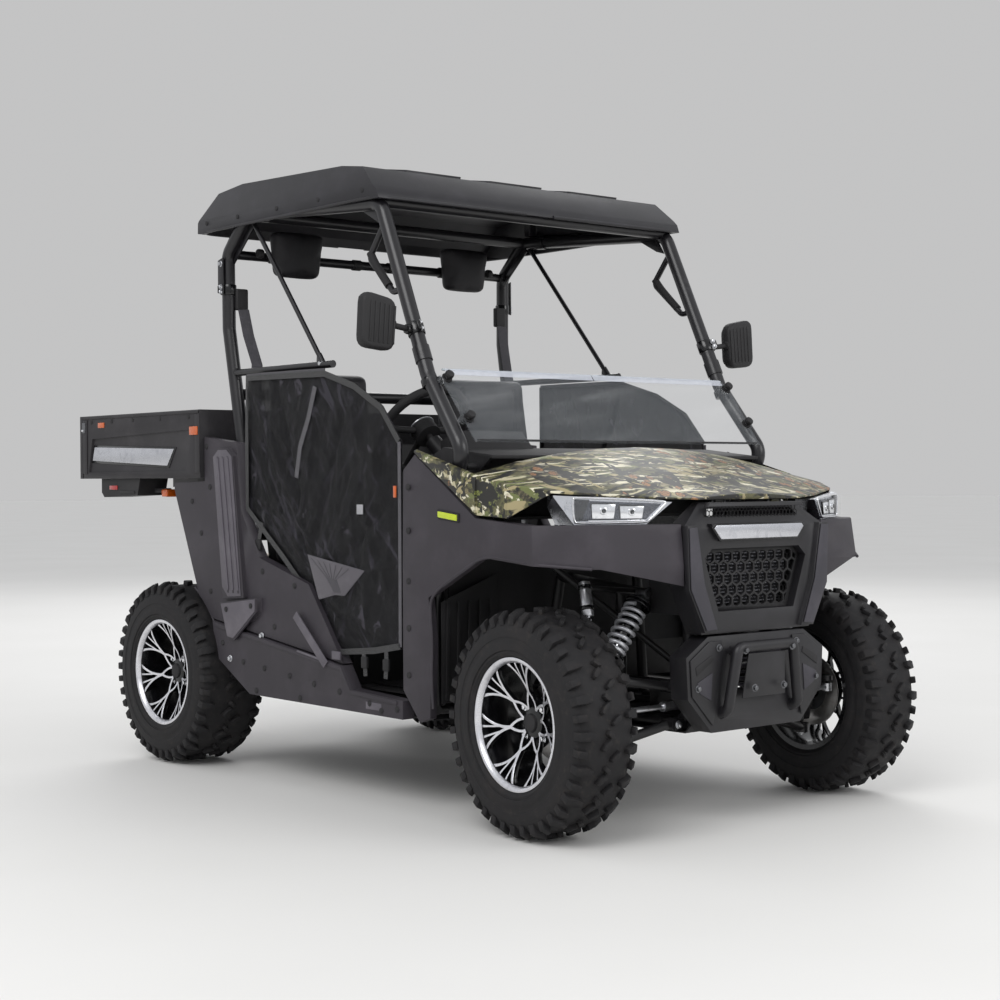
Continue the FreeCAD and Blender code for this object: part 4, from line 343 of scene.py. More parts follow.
CHARCOAL = moulded_plastic("charcoal_plastic", rgb(45, 41, 47), rgb(64, 59, 66))
NOSE_BLACK = moulded_plastic("nose_plastic", rgb(24, 23, 26), rgb(42, 40, 45), 0.36)
DEEP_BLACK = moulded_plastic("cab_plastic", rgb(24, 23, 25), rgb(46, 44, 46), 0.56)
BED_BLACK = moulded_plastic("bed_plastic", rgb(34, 32, 35), rgb(60, 57, 60), 0.5, 700.0)
TRIM_GREY = moulded_plastic("trim_plastic", rgb(82, 78, 85), rgb(112, 107, 114), 0.46)
STRUT_GREY = moulded_plastic("strut_plastic", rgb(50, 48, 55), rgb(74, 71, 79), 0.42)
ROOF_BLACK = moulded_plastic("roof_plastic", rgb(26, 25, 29), rgb(50, 48, 54), 0.36, 500.0)
CAGE_BLACK = coated_metal("cage_coat", rgb(25, 24, 27), rgb(52, 50, 54))
FRAME_BLACK = coated_metal("frame_coat", rgb(22, 21, 23), rgb(50, 47, 46), 0.42)
CAMOUFLAGE = woodland_lid()
RUBBER = tyre_rubber()
VINYL = stretched_vinyl()
NET = net_weave()
STRAP = webbing("strap_webbing", rgb(46, 45, 50), rgb(104, 101, 108))
PIPING = webbing("piping_tape", rgb(58, 56, 62), rgb(98, 95, 102))
WASH_TAG = webbing("wash_tag", rgb(150, 150, 154), rgb(196, 196, 200))
EDGING = webbing("edging_tape", rgb(15, 15, 17), rgb(36, 35, 38))
FLAP = webbing("flap_cloth", rgb(66, 62, 69), rgb(104, 99, 107))
MACHINED = bare_metal("machined_alloy", rgb(226, 226, 230), rgb(176, 176, 182), 0.22)
GLOSS_BLACK = coated_metal("gloss_alloy_coat", rgb(15, 15, 17), rgb(34, 33, 36), 0.16)
CHROME = bare_metal("bright_chrome", rgb(236, 237, 240), rgb(170, 172, 178), 0.06, depth=0.00005)
ZINC = bare_metal("zinc_plate", rgb(206, 207, 210), rgb(120, 120, 124), 0.28)
SPRING = coated_metal("spring_silver", rgb(196, 197, 202), rgb(140, 141, 146), 0.3, 0.55)
DISC_STEEL = bare_metal("disc_steel", rgb(190, 188, 186), rgb(122, 112, 102), 0.3)
CAST = cast_metal("cast_alloy", rgb(122, 123, 126), rgb(54, 53, 54))
EXHAUST = bare_metal("exhaust_steel", rgb(150, 142, 134), rgb(84, 70, 58), 0.36)
BRUSHED = bare_metal("brushed_plate", rgb(206, 207, 212), rgb(150, 151, 158), 0.2, (1.0, 1.0, 60.0), 40.0)
LAMP_BOWL = bare_metal("lamp_bowl", rgb(244, 245, 248), rgb(206, 208, 212), 0.05, depth=0.00005)
LAMP_SHELL = bare_metal("lamp_shell", rgb(214, 216, 222), rgb(120, 122, 130), 0.16, depth=0.00008)
# Pale, mostly opaque bead finish: a painted highlight on the half screen's top edge.
HIGHLIGHT_BEAD = lens("screen_edge_highlight", rgb(214, 224, 230), 0.7, 0.1)
# Pale translucent band laid along the half screen's top edge: a painted highlight of that edge.
EDGE_HIGHLIGHT = lens("painted_highlight_band", rgb(222, 226, 236), 0.5, 0.3, 60.0)
CLEAR_LENS = lens("clear_lens", rgb(236, 240, 246), 0.05)
LAMP_INNER = bare_metal("lamp_inner", rgb(84, 86, 94), rgb(34, 35, 40), 0.2)
AMBER = lens("amber_lens", rgb(206, 92, 20), 1.0, 0.12, 1500.0, 0.5)
LIME = lens("marker_lens", rgb(196, 214, 24), 1.0, 0.2, 1500.0, 0.4)
RED = lens("red_lens", rgb(170, 22, 18), 1.0, 0.1, 1200.0, 0.4)
SCREEN = clear_sheet()
CORE = finned_core()
GRIP_RUBBER = moulded_plastic("grip_rubber", rgb(21, 20, 22), rgb(42, 40, 42), 0.66, 1500.0)
DIAL_FACE = moulded_plastic("dial_face", rgb(14, 15, 17), rgb(30, 31, 34), 0.22)

NODE_FINISH = {node: finish for finish, nodes in (
    (FRAME_BLACK, "main_rails hitch_receiver chassis_frame drive_line front_arms rear_arms "
                  "steering_column knuckle_right knuckle_left"),
    (DEEP_BLACK, "skid_plate floor_tub seat_base grille dashboard mirrors tail_lamps"),
    (CAST, "engine steering_rack"),
    (EXHAUST, "exhaust"),
    (SPRING, "front_shocks rear_shocks"),
    (ZINC, "tie_rods"),
    (GRIP_RUBBER, "steering_wheel"),
    (RUBBER, "tyre_front_right tyre_front_left tyre_rear_right tyre_rear_left"),
    (GLOSS_BLACK, "rim_front_right rim_front_left rim_rear_right rim_rear_left"),
    (CHARCOAL, "front_fenders rockers rear_side_panels"),
    (NOSE_BLACK, "fascia bumper"),
    (CORE, "radiator"),
    (LAMP_SHELL, "headlights"),
    (CAMOUFLAGE, "hood"),
    (SCREEN, "windscreen"),
    (CAGE_BLACK, "roll_cage"),
    (ROOF_BLACK, "roof"),
    (VINYL, "headrests seats"),
    (NET, "side_nets"),
    (BED_BLACK, "cargo_bed tailgate"),
) for node in nodes.split()}


# Shaping helpers

def clear_selection():
    if bpy.context.object and bpy.context.object.mode != "OBJECT":
        bpy.ops.object.mode_set(mode="OBJECT")
    bpy.ops.object.select_all(action="DESELECT")


def pick(piece):
    """Select one piece alone and make it active."""
    clear_selection()
    piece.select_set(True)
    bpy.context.view_layer.objects.active = piece


def open_edit(piece, mode="VERT"):
    pick(piece)
    bpy.ops.object.mode_set(mode="EDIT")
    bpy.ops.mesh.select_mode(type=mode)
    bpy.ops.mesh.select_all(action="SELECT")


def close_edit():
    bpy.ops.object.mode_set(mode="OBJECT")


def named(name, finish):
    """Take the primitive just added: its name, its finish, its place in its mesh."""
    piece = bpy.context.object
    bpy.ops.object.transform_apply(location=True, rotation=True, scale=True)
    piece.name = name
    piece.data.name = name
    piece.data.materials.clear()
    piece.data.materials.append(finish)
    return piece


def run_modifier(piece, kind, **settings):
    pick(piece)
    modifier = piece.modifiers.new(kind.lower(), kind)
    for key, value in settings.items():
        setattr(modifier, key, value)
    bpy.ops.object.modifier_apply(modifier=modifier.name)


def soften(piece, width, segments=2, angle=30.0):
    """Round the sharp edges and smooth what is left."""
    if width > 0.0:
        run_modifier(piece, "BEVEL", width=width, segments=segments, limit_method="ANGLE",
                     angle_limit=math.radians(angle), use_clamp_overlap=True)
    pick(piece)
    bpy.ops.object.shade_smooth_by_angle(angle=math.radians(38.0))
    return piece


def outward(piece):
    open_edit(piece)
    bpy.ops.mesh.remove_doubles(threshold=0.00001)
    bpy.ops.mesh.normals_make_consistent(inside=False)
    close_edit()
    return piece


def copy_of(piece, name):
    twin = bpy.data.objects.new(name, piece.data.copy())
    bpy.context.scene.collection.objects.link(twin)
    twin.data.name = name
    return twin


def mirrored(piece, name):
    """The same piece on the other side."""
    twin = copy_of(piece, name)
    twin.data.transform(Matrix.Scale(-1.0, 4, (1.0, 0.0, 0.0)))
    return outward(twin)


def joined(name, pieces):
    clear_selection()
    for piece in pieces:
        piece.select_set(True)
    bpy.context.view_layer.objects.active = pieces[0]
    bpy.ops.object.join()
    pieces[0].name = name
    pieces[0].data.name = name
    return pieces[0]


def seat(piece, body, replaces=()):
    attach(piece, body)
    if replaces:
        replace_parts(piece, *replaces)
    return piece


def block(name, low, high, finish, bevel=0.002, segments=2):
    """Bevelled block between two corners given in millimetres."""
    low, high = at(*low), at(*high)
    bpy.ops.mesh.primitive_cube_add(size=1.0, location=(low + high) / 2.0, scale=high - low)
    return soften(named(name, finish), bevel, segments)


def rod(name, start, end, radius, finish, bevel=0.001, sides=24):
    """Round bar between two points given in millimetres."""
    start, end = at(*start), at(*end)
    turn = (end - start).to_track_quat("Z", "Y").to_euler()
    bpy.ops.mesh.primitive_cylinder_add(vertices=sides, radius=radius * 0.001, depth=(end - start).length,
                                        location=(start + end) / 2.0, rotation=turn)
    return soften(named(name, finish), bevel, 2)


def extruded(piece, push):
    """Push a flat piece along, give it walls, and turn all its faces outward."""
    open_edit(piece)
    bpy.ops.mesh.extrude_region_move(TRANSFORM_OT_translate={"value": push})
    bpy.ops.mesh.select_all(action="SELECT")
    bpy.ops.mesh.normals_make_consistent(inside=False)
    close_edit()


def plate(name, outline, push, finish, bevel=0.001, segments=2):
    """Flat plate: a filled ring whose points are set on the outline, extruded and bevelled."""
    bpy.ops.mesh.primitive_circle_add(vertices=len(outline), fill_type="NGON")
    piece = named(name, finish)
    for vertex, point in zip(piece.data.vertices, outline):
        vertex.co = at(*point)
    extruded(piece, Vector(push) * 0.001)
    return soften(piece, bevel, segments)


def side_plate(name, x, outline, push, finish, bevel=0.001, segments=2):
    """Plate in the upright plane at x, its outline in (y, z), pushed along x."""
    return plate(name, [(x, y, z) for y, z in outline], (push, 0, 0), finish, bevel, segments)


def face_plate(name, y, outline, push, finish, bevel=0.001, segments=2):
    """Plate in the upright plane at y, its outline in (x, z), pushed along y."""
    return plate(name, [(x, y, z) for x, z in outline], (0, push, 0), finish, bevel, segments)


def pipe(name, points, radius, finish, sides=8, steps=8):
    """Bent tube along a smooth curve through given points, in millimetres."""
    curve = bpy.data.curves.new(name, "CURVE")
    curve.dimensions = "3D"
    spline = curve.splines.new("NURBS")
    spline.points.add(len(points) - 1)
    for point, place in zip(spline.points, points):
        point.co = (*at(*place), 1.0)
    spline.use_endpoint_u = True
    spline.order_u = 3
    curve.bevel_depth = radius * 0.001
    curve.bevel_resolution = sides // 2
    curve.resolution_u = steps
    curve.use_fill_caps = True
    holder = bpy.data.objects.new(name, curve)
    bpy.context.scene.collection.objects.link(holder)
    pick(holder)
    bpy.ops.object.convert(target="MESH")
    piece = bpy.context.object
    piece.name = name
    piece.data.materials.clear()
    piece.data.materials.append(finish)
    outward(piece)
    return soften(piece, 0.0)


def tape(name, points, width, thickness, outside, finish):
    """Flat strap: a strip of quads along the points, given its thickness, lightly rounded."""
    count = len(points)
    bpy.ops.mesh.primitive_grid_add(x_subdivisions=count - 1, y_subdivisions=1)
    piece = named(name, finish)
    out = Vector(outside).normalized()
    for index in range(count):
        here = at(*points[index])
        run = at(*points[min(index + 1, count - 1)]) - at(*points[max(index - 1, 0)])
        across = run.cross(out).normalized() * (width * 0.0005)
        piece.data.vertices[index].co = here - across
        piece.data.vertices[count + index].co = here + across
    run_modifier(piece, "SOLIDIFY", thickness=thickness * 0.001, offset=0.0)
    outward(piece)
    return soften(piece, thickness * 0.0002, 1)


# Nodes whose hollow side faces don't survive being merged into single faces
FINE_FACES = ("rockers", "hood", "rear_side_panels")


def dressed(node, finish, width, slot):
    """A CAD node's form with merged faces and rounded edges, which stands for that node."""
    piece = copy_of(NODES[node], node + "_moulding")
    piece.data.materials.clear()
    piece.data.materials.append(finish)
    open_edit(piece)
    bpy.ops.mesh.remove_doubles(threshold=0.00002)
    if node not in FINE_FACES:
        bpy.ops.mesh.dissolve_limited(angle_limit=math.radians(1.0))
    bpy.ops.mesh.normals_make_consistent(inside=False)
    close_edit()
    soften(piece, width)
    seat(piece, BODY_OF[node], [node])


def spread(template, name, places):
    """Copies of one small piece, each turned so that its Z looks along the given way, joined.

    The template goes when they are made.
    """
    copies = []
    for index, (point, way) in enumerate(places):
        twin = copy_of(template, f"{name}_{index}")
        turn = Vector(way).to_track_quat("Z", "Y").to_matrix().to_4x4()
        twin.data.transform(Matrix.Translation(at(*point)) @ turn)
        copies.append(twin)
    whole = joined(name, copies)
    drop(template)
    return whole


def hex_bolt(radius, finish):
    """Hexagon head on a washer, around the origin, looking along Z."""
    bpy.ops.mesh.primitive_cylinder_add(vertices=20, radius=radius * 1.45, depth=radius * 0.3,
                                        location=(0, 0, radius * 0.15))
    washer = soften(named("washer", finish), radius * 0.1, 1)
    bpy.ops.mesh.primitive_cylinder_add(vertices=6, radius=radius, depth=radius * 0.9,
                                        location=(0, 0, radius * 0.7))
    head = soften(named("head", finish), radius * 0.14, 2)
    return joined("bolt_template", [washer, head])


def round_clip(radius, finish):
    """Pushed-in trim clip: a low dome in a shallow ring."""
    bpy.ops.mesh.primitive_uv_sphere_add(segments=16, ring_count=8, radius=radius, scale=(1.0, 1.0, 0.35))
    dome = soften(named("dome", finish), 0.0)
    bpy.ops.mesh.primitive_torus_add(major_segments=20, minor_segments=6, major_radius=radius * 1.1,
                                     minor_radius=radius * 0.22)
    ring = soften(named("ring", finish), 0.0)
    return joined("clip_template", [dome, ring])


def drop(template):
    bpy.data.objects.remove(template)


# Wheels

TYRE_RADIUS = 0.322
CARCASS = 0.3085
PITCHES = 20
LUG_TAPER = 0.86
SPOKES = 7
BRAKE_X = {"front": -0.052, "rear": -0.060}
STEER = math.radians(-4.1)
WHEELS = {
    "front_right": (-601.0, 0.0, 0.104, -1.0), "front_left": (601.0, 0.0, 0.104, 1.0),
    "rear_right": (-604.0, WHEELBASE, 0.125, -1.0), "rear_left": (604.0, WHEELBASE, 0.125, 1.0),
}


def wheel_place(name):
    """Where a wheel drawn round the origin, its outside along +X, goes."""
    x, y, _, side = WHEELS[name]
    turn = Matrix.Identity(4) if side > 0 else Matrix.Rotation(math.pi, 4, "Z")
    if name.startswith("rear"):
        return Matrix.Translation(at(x, y, AXLE_HEIGHT)) @ turn
    pin = Matrix.Translation(at(side * KINGPIN_X, 0.0, AXLE_HEIGHT))
    arm = Matrix.Translation(Vector((x - side * KINGPIN_X, 0.0, 0.0)) * 0.001)
    return pin @ Matrix.Rotation(STEER, 4, "Z") @ arm @ turn


def spun(name, profile, finish, steps=72):
    """Profile of (x, radius) in metres, drawn as a ring of points and spun about the X axis."""
    bpy.ops.mesh.primitive_circle_add(vertices=len(profile))
    piece = named(name, finish)
    for vertex, (x, radius) in zip(piece.data.vertices, profile):
        vertex.co = (x, 0.0, radius)
    open_edit(piece)
    bpy.ops.mesh.spin(steps=steps, angle=math.tau, center=(0.0, 0.0, 0.0), axis=(1.0, 0.0, 0.0))
    close_edit()
    return outward(piece)


def carcass(half):
    """Tyre body: bead, bulging flank with raised rings, and the crown under the lugs."""
    flank = [(half - 0.020, 0.186), (half - 0.010, 0.1895), (half - 0.006, 0.196), (half - 0.0035, 0.1985),
             (half - 0.0040, 0.206), (half - 0.0008, 0.2075), (half, 0.226), (half - 0.0010, 0.2275),
             (half - 0.0010, 0.243), (half + 0.0004, 0.2445), (half - 0.0012, 0.262), (half - 0.0050, 0.276),
             (half - 0.0130, 0.290), (half - 0.0240, 0.301), (half - 0.0420, 0.3065), (0.0, CARCASS)]
    ring = flank + [(-x, r) for x, r in reversed(flank[:-1])]
    ring += [(-half + 0.026, 0.184), (-half + 0.030, 0.200), (-half + 0.030, 0.288), (half - 0.030, 0.288),
             (half - 0.030, 0.200), (half - 0.026, 0.184)]
    return soften(spun("carcass", ring, RUBBER, 96), 0.0)


def lug(outline, half, depth):
    """One tread block: outline in (along, across) metres, raised from the crown and rolled onto it."""
    bpy.ops.mesh.primitive_circle_add(vertices=len(outline), fill_type="NGON")
    piece = named("lug", RUBBER)
    for vertex, (along, across) in zip(piece.data.vertices, outline):
        vertex.co = (across, along, 0.0)
    open_edit(piece)
    bpy.ops.mesh.extrude_region_move(TRANSFORM_OT_translate={"value": (0.0, 0.0, 1.0)})
    bpy.ops.transform.resize(value=(LUG_TAPER, LUG_TAPER, 1.0))
    bpy.ops.mesh.select_all(action="SELECT")
    bpy.ops.mesh.normals_make_consistent(inside=False)
    close_edit()
    for vertex in piece.data.vertices:
        across, along, level = vertex.co
        beyond = max(0.0, abs(across) - (half - 0.042)) / 0.042
        drop_down = 0.0150 * beyond ** 1.6 + 0.018 * beyond ** 6
        radius = TYRE_RADIUS - drop_down - depth * (1.0 - level)
        turn = along / TYRE_RADIUS
        vertex.co = (across + (0.0035 * level if across > 0 else -0.0035 * level) * min(1.0, beyond),
                     radius * math.sin(turn), radius * math.cos(turn))
    return soften(piece, 0.0022, 2, 20.0)


def tread(half):
    """Lug pattern of one pitch, repeated round the crown."""
    pitch = math.tau * TYRE_RADIUS / PITCHES
    edge = half - 0.0035
    shapes = [([(-0.014, edge), (-0.015, half - 0.034), (-0.006, half - 0.052), (0.010, half - 0.050),
                (0.014, half - 0.030), (0.014, edge)], 0.0),
              ([(-0.012, edge), (-0.012, half - 0.026), (0.010, half - 0.028), (0.013, edge)], 0.5)]
    middle = [([(-0.020, 0.004), (-0.008, 0.022), (0.010, 0.034), (0.018, 0.026), (0.006, 0.012),
                (-0.006, -0.002)], 0.30),
              ([(-0.016, -0.030), (-0.004, -0.036), (0.012, -0.018), (0.018, -0.004), (0.008, 0.000),
                (-0.006, -0.014)], 0.62),
              ([(-0.012, 0.010), (0.002, -0.006), (0.014, -0.010), (0.014, 0.004), (0.000, 0.018)], 0.98)]
    templates = []
    for outline, share in shapes:
        templates += [lug([(along + share * pitch, across) for along, across in outline], half, 0.022),
                      lug([(along + (share + 0.5) * pitch, -across) for along, across in outline], half,
                          0.022)]
    for outline, share in middle:
        templates.append(lug([(along + share * pitch, across * half / 0.104) for along, across in outline],
                             half, 0.016))
    row = joined("lug_row", templates)
    rows = [row]
    for index in range(1, PITCHES):
        twin = copy_of(row, f"lug_row_{index}")
        twin.data.transform(Matrix.Rotation(math.tau * index / PITCHES, 4, "X"))
        rows.append(twin)
    return rows


def tyre(name, half):
    return joined(name, [carcass(half)] + tread(half))


def face_depth(radius, lip_x):
    """How far along X the spokes' face lies at a radius: dished deep towards the hub."""
    share = min(1.0, max(0.0, (radius - 0.044) / 0.126))
    return lip_x - 0.012 - 0.050 * (1.0 - share ** 1.25)


def spoke_ribbon(lip_x, centre_line, widths, depth):
    """One curved arm of a spoke: a strip in (radius mm, degrees), extruded inwards and bevelled."""
    count = len(centre_line)
    bpy.ops.mesh.primitive_grid_add(x_subdivisions=count - 1, y_subdivisions=1)
    piece = named("arm", MACHINED)
    points = [Vector((0.0, r * math.sin(math.radians(a)), r * math.cos(math.radians(a)))) * 0.001
              for r, a in centre_line]
    for index in range(count):
        run = points[min(index + 1, count - 1)] - points[max(index - 1, 0)]
        across = Vector((1.0, 0.0, 0.0)).cross(run).normalized() * widths[index] * 0.0005
        piece.data.vertices[index].co = points[index] - across
        piece.data.vertices[count + index].co = points[index] + across
    extruded(piece, (-depth, 0.0, 0.0))
    for vertex in piece.data.vertices:
        vertex.co.x += face_depth(math.hypot(vertex.co.y, vertex.co.z), lip_x)
    return soften(piece, 0.0016, 2)


def smooth_line(start, end, bow, count=7):
    """Points from one (radius, degrees) to another, the angle easing in by the power bow."""
    line = []
    for index in range(count):
        share = index / (count - 1)
        line.append((start[0] + (end[0] - start[0]) * share, start[1] + (end[1] - start[1]) * share ** bow))
    return line


def rim(name, half):
    """Cast wheel: rolled lip, black barrel, seven split machined spokes, hub, cap and lug nuts."""
    lip = half - 0.014
    barrel = spun("barrel", [
        (lip, 0.1880), (lip + 0.0025, 0.1850), (lip + 0.0025, 0.1795), (lip - 0.001, 0.1760),
        (lip - 0.012, 0.1715), (lip - 0.050, 0.1640), (-lip + 0.030, 0.1660), (-lip, 0.1720),
        (-lip - 0.002, 0.1880), (-lip + 0.005, 0.1880), (-lip + 0.008, 0.1790), (-lip + 0.034, 0.1720),
        (lip - 0.050, 0.1700), (lip - 0.016, 0.1785), (lip - 0.006, 0.1880)], GLOSS_BLACK)
    soften(barrel, 0.0)
    edge = spun("lip_ring", [(lip + 0.0032, 0.1868), (lip + 0.0040, 0.1840), (lip + 0.0034, 0.1790),
                             (lip + 0.0006, 0.1752), (lip - 0.010, 0.1712), (lip - 0.012, 0.1722),
                             (lip - 0.002, 0.1764), (lip + 0.0020, 0.1800), (lip + 0.0020, 0.1850)], MACHINED)
    soften(edge, 0.0)
    arms = []
    for sign in (-1.0, 1.0):
        arms += [spoke_ribbon(lip, smooth_line((84.0, 0.0), (174.0, sign * 16.5), 1.5, 8),
                              [9, 9.5, 9, 8.5, 8, 8, 8.5, 10], 0.016),
                 spoke_ribbon(lip, smooth_line((118.0, sign * 3.4), (173.0, sign * 5.2), 0.8, 5),
                              [5, 6, 6, 6.5, 8], 0.013),
                 spoke_ribbon(lip, smooth_line((38.0, sign * 25.7), (86.0, sign * 1.0), 1.1, 5),
                              [9, 8, 8, 8, 9], 0.016)]
    spokes = []
    for turn in range(SPOKES):
        for arm in arms:
            twin = copy_of(arm, f"spoke_{turn}_{len(spokes)}")
            twin.data.transform(Matrix.Rotation(math.tau * turn / SPOKES, 4, "X"))
            spokes.append(twin)
    for arm in arms:
        drop(arm)
    spider = joined("spider", spokes)
    spider.data.materials.append(GLOSS_BLACK)
    for polygon in spider.data.polygons:
        polygon.material_index = 0 if polygon.normal.x > 0.72 else 1
    hub_x = face_depth(0.044, lip)
    hub = spun("hub", [(hub_x + 0.002, 0.0), (hub_x + 0.002, 0.036), (hub_x - 0.002, 0.043),
                       (hub_x - 0.018, 0.047), (hub_x - 0.040, 0.047), (hub_x - 0.040, 0.0)], GLOSS_BLACK,
               48)
    cap = spun("cap", [(hub_x + 0.012, 0.0), (hub_x + 0.0115, 0.016), (hub_x + 0.009, 0.024),
                       (hub_x + 0.002, 0.027), (hub_x, 0.027), (hub_x, 0.0)], DEEP_BLACK, 40)
    soften(hub, 0.0)
    soften(cap, 0.0)
    nut = hex_bolt(0.0085, CHROME)
    nuts = []
    for index in range(4):
        turn = math.radians(45.0 + 90.0 * index)
        twin = copy_of(nut, f"nut_{index}")
        place = Matrix.Translation((hub_x - 0.008, 0.058 * math.sin(turn), 0.058 * math.cos(turn)))
        twin.data.transform(place @ Matrix.Rotation(math.pi / 2.0, 4, "Y"))
        nuts.append(twin)
    drop(nut)
    plate_ring = spun("bolt_circle", [(hub_x - 0.010, 0.040), (hub_x - 0.009, 0.070), (hub_x - 0.016, 0.074),
                                      (hub_x - 0.026, 0.070), (hub_x - 0.026, 0.040)], GLOSS_BLACK, 48)
    soften(plate_ring, 0.0)
    return joined(name, [barrel, edge, spider, hub, cap, plate_ring] + nuts)


def brake(name, inner_x):
    """Drilled disc with its hat, seen through the spokes and from inside."""
    disc = spun("disc", [(inner_x, 0.062), (inner_x + 0.005, 0.062), (inner_x + 0.005, 0.112),
                         (inner_x, 0.112)], DISC_STEEL, 60)
    hat = spun("hat", [(inner_x + 0.001, 0.030), (inner_x + 0.020, 0.030), (inner_x + 0.020, 0.052),
                       (inner_x + 0.004, 0.064), (inner_x + 0.001, 0.064)], CAST, 48)
    soften(disc, 0.0006)
    soften(hat, 0.0)
    return joined(name, [disc, hat])


def make_wheels():
    for axle in ("front", "rear"):
        half = WHEELS[axle + "_right"][2]
        base_tyre = tyre("tyre_" + axle, half)
        base_rim = rim("rim_" + axle, half)
        base_brake = brake("brake_" + axle, BRAKE_X[axle])
        for side in ("right", "left"):
            name = f"{axle}_{side}"
            body = "wheel_" + name
            for base, label, slot, node in ((base_tyre, "tread_tyre_", "tyre", ["tyre_" + name]),
                                            (base_rim, "spoked_wheel_", "rim_alloy", ["rim_" + name]),
                                            (base_brake, "brake_disc_", "rim_alloy", [])):
                piece = copy_of(base, label + name)
                piece.data.transform(wheel_place(name))
                seat(piece, body, node)
        for base in (base_tyre, base_rim, base_brake):
            drop(base)


# Nose

LAMP_CORNER = Vector((-560.0, -94.0, 0.0))
LAMP_ALONG = Vector((0.8916, -0.4527, 0.0))
LAMP_OUT = Vector((-0.4527, -0.8916, 0.0))


def on_lamp(along, z, out):
    """Place on the right lamp's slanted face: millimetres along it, up, and out of it."""
    point = LAMP_CORNER + LAMP_ALONG * along + LAMP_OUT * out
    return (point.x, point.y, z)


def both(make, body):
    """A piece drawn on the right side, and its mirror image on the left, named after their function."""
    first = make(make.__name__ + "_right")
    second = mirrored(first, make.__name__ + "_left")
    for piece in (first, second):
        seat(piece, body)
    return first, second


def lamp_plate(name, out, outline, thickness, finish, bevel):
    """Plate that lies on or above the lamp's face, its outline in (along, z)."""
    return plate(name, [on_lamp(s, z, out) for s, z in outline], LAMP_OUT * thickness, finish, bevel)


def lamp_inside(name):
    """Bright bezel, dark corner, two framed reflectors with bulbs, and a light strip below."""
    rim_line = [(-4, 930), (-4, 946), (0, 950), (130, 945), (258, 938), (266, 934), (262, 929), (216, 884),
                (206, 879), (100, 878), (6, 878), (-2, 884), (-4, 930)]
    bits = [pipe("bezel", [on_lamp(s, z, 4.0) for s, z in rim_line], 3.2, CHROME, 6, 3),
            lamp_plate("dark_corner", 0.5, ((2, 945), (44, 943), (20, 884), (2, 884)), 4.0, GLOSS_BLACK,
                       0.0015),
            lamp_plate("inner_panel", 0.3, ((3, 942), (254, 931), (204, 884), (3, 884)), 2.0, LAMP_INNER,
                       0.0008)]
    for along in (84.0, 166.0):
        high = 934.0 if along < 100.0 else 928.0
        frame_line = [(-33, 888), (28, 888), (36, high - 6), (32, high), (-36, high + 2), (-40, high - 4)]
        bits.append(lamp_plate("eye_frame", 0.5, [(along + s, z) for s, z in frame_line], 6.0, GLOSS_BLACK,
                               0.002))
        inner = [(-34, 890), (28, 890), (34, high - 4), (-36, high - 3)]
        bits.append(lamp_plate("eye_mirror", 6.0, [(along + s, z) for s, z in inner], 2.2, LAMP_BOWL, 0.002))
        middle = (high + 890.0) / 2.0
        bits += [rod("bulb", on_lamp(along - 2, middle, 7.0), on_lamp(along - 2, middle, 12.5), 11.0,
                     CHROME, 0.004),
                 rod("bulb_core", on_lamp(along - 2, middle, 12.0), on_lamp(along - 2, middle, 14.5), 6.5,
                     GLOSS_BLACK, 0.001)]
    bits.append(lamp_plate("light_strip", 1.0, ((40, 886.5), (206, 886.5), (203, 881), (36, 881)), 5.0,
                           LAMP_BOWL, 0.001))
    return joined(name, bits)


def lamp_cover(name):
    corners = [(-3, 949), (262, 937), (265, 932), (208, 880), (-3, 880)]
    return lamp_plate(name, 15.5, corners, 2.0, CLEAR_LENS, 0.0008)


def hex_mesh(name, y, low, high, half_low, half_high, pitch, bar, finish):
    """Lattice of hexagons in an upright plane, cut to a trapezoid."""
    cell = pitch / math.sqrt(3.0)
    bpy.ops.mesh.primitive_circle_add(vertices=6, radius=cell * 0.001, fill_type="NGON",
                                      rotation=(math.pi / 2.0, 0.0, 0.0))
    template = named("cell", finish)
    cells = []
    row_step = pitch * math.sqrt(3.0) / 2.0
    for row in range(int((high - low) / row_step) + 1):
        z = low + row * row_step
        half = half_low + (half_high - half_low) * (z - low) / (high - low)
        shift = (row % 2) * pitch / 2.0
        for column in range(-40, 41):
            x = column * pitch + shift
            if abs(x) < half - cell * 0.7:
                twin = copy_of(template, f"cell_{len(cells)}")
                twin.data.transform(Matrix.Translation(at(x, y, z)))
                cells.append(twin)
    drop(template)
    lattice = joined(name, cells)
    open_edit(lattice)
    bpy.ops.mesh.remove_doubles(threshold=0.0006)
    close_edit()
    run_modifier(lattice, "WIREFRAME", thickness=bar * 0.001, use_boundary=True, use_even_offset=True)
    return outward(lattice)


def strut_trim(name):
    """Dark grey blade down the side of the nose opening."""
    outline = [(-297, 862), (-266, 864), (-237, 704), (-186, 574), (-228, 571), (-291, 690)]
    return face_plate(name, -279, outline, -4, STRUT_GREY, 0.003, 3)


def bumper_cheek(name):
    """Raised panel on each side of the lower nose, with a slot and a bolt."""
    panel = face_plate("cheek", -263, [(-281, 490), (-204, 540), (-150, 540), (-150, 500), (-168, 392),
                                       (-190, 300), (-274, 388)], -5, NOSE_BLACK, 0.004, 3)
    slot_in = face_plate("cheek_slot", -267.5, [(-262, 470), (-196, 502), (-190, 486), (-258, 446)], -2.5,
                         DEEP_BLACK, 0.001)
    low = face_plate("cheek_low", -267.5, [(-256, 426), (-194, 452), (-200, 372), (-246, 396)], -3,
                     STRUT_GREY, 0.0015)
    bolts = spread(hex_bolt(0.0075, CAST), "cheek_bolts",
                   [((-252, -268, 410), (0, -1, 0)), ((-166, -268, 520), (0, -1, 0))])
    return joined(name, [panel, slot_in, low, bolts])


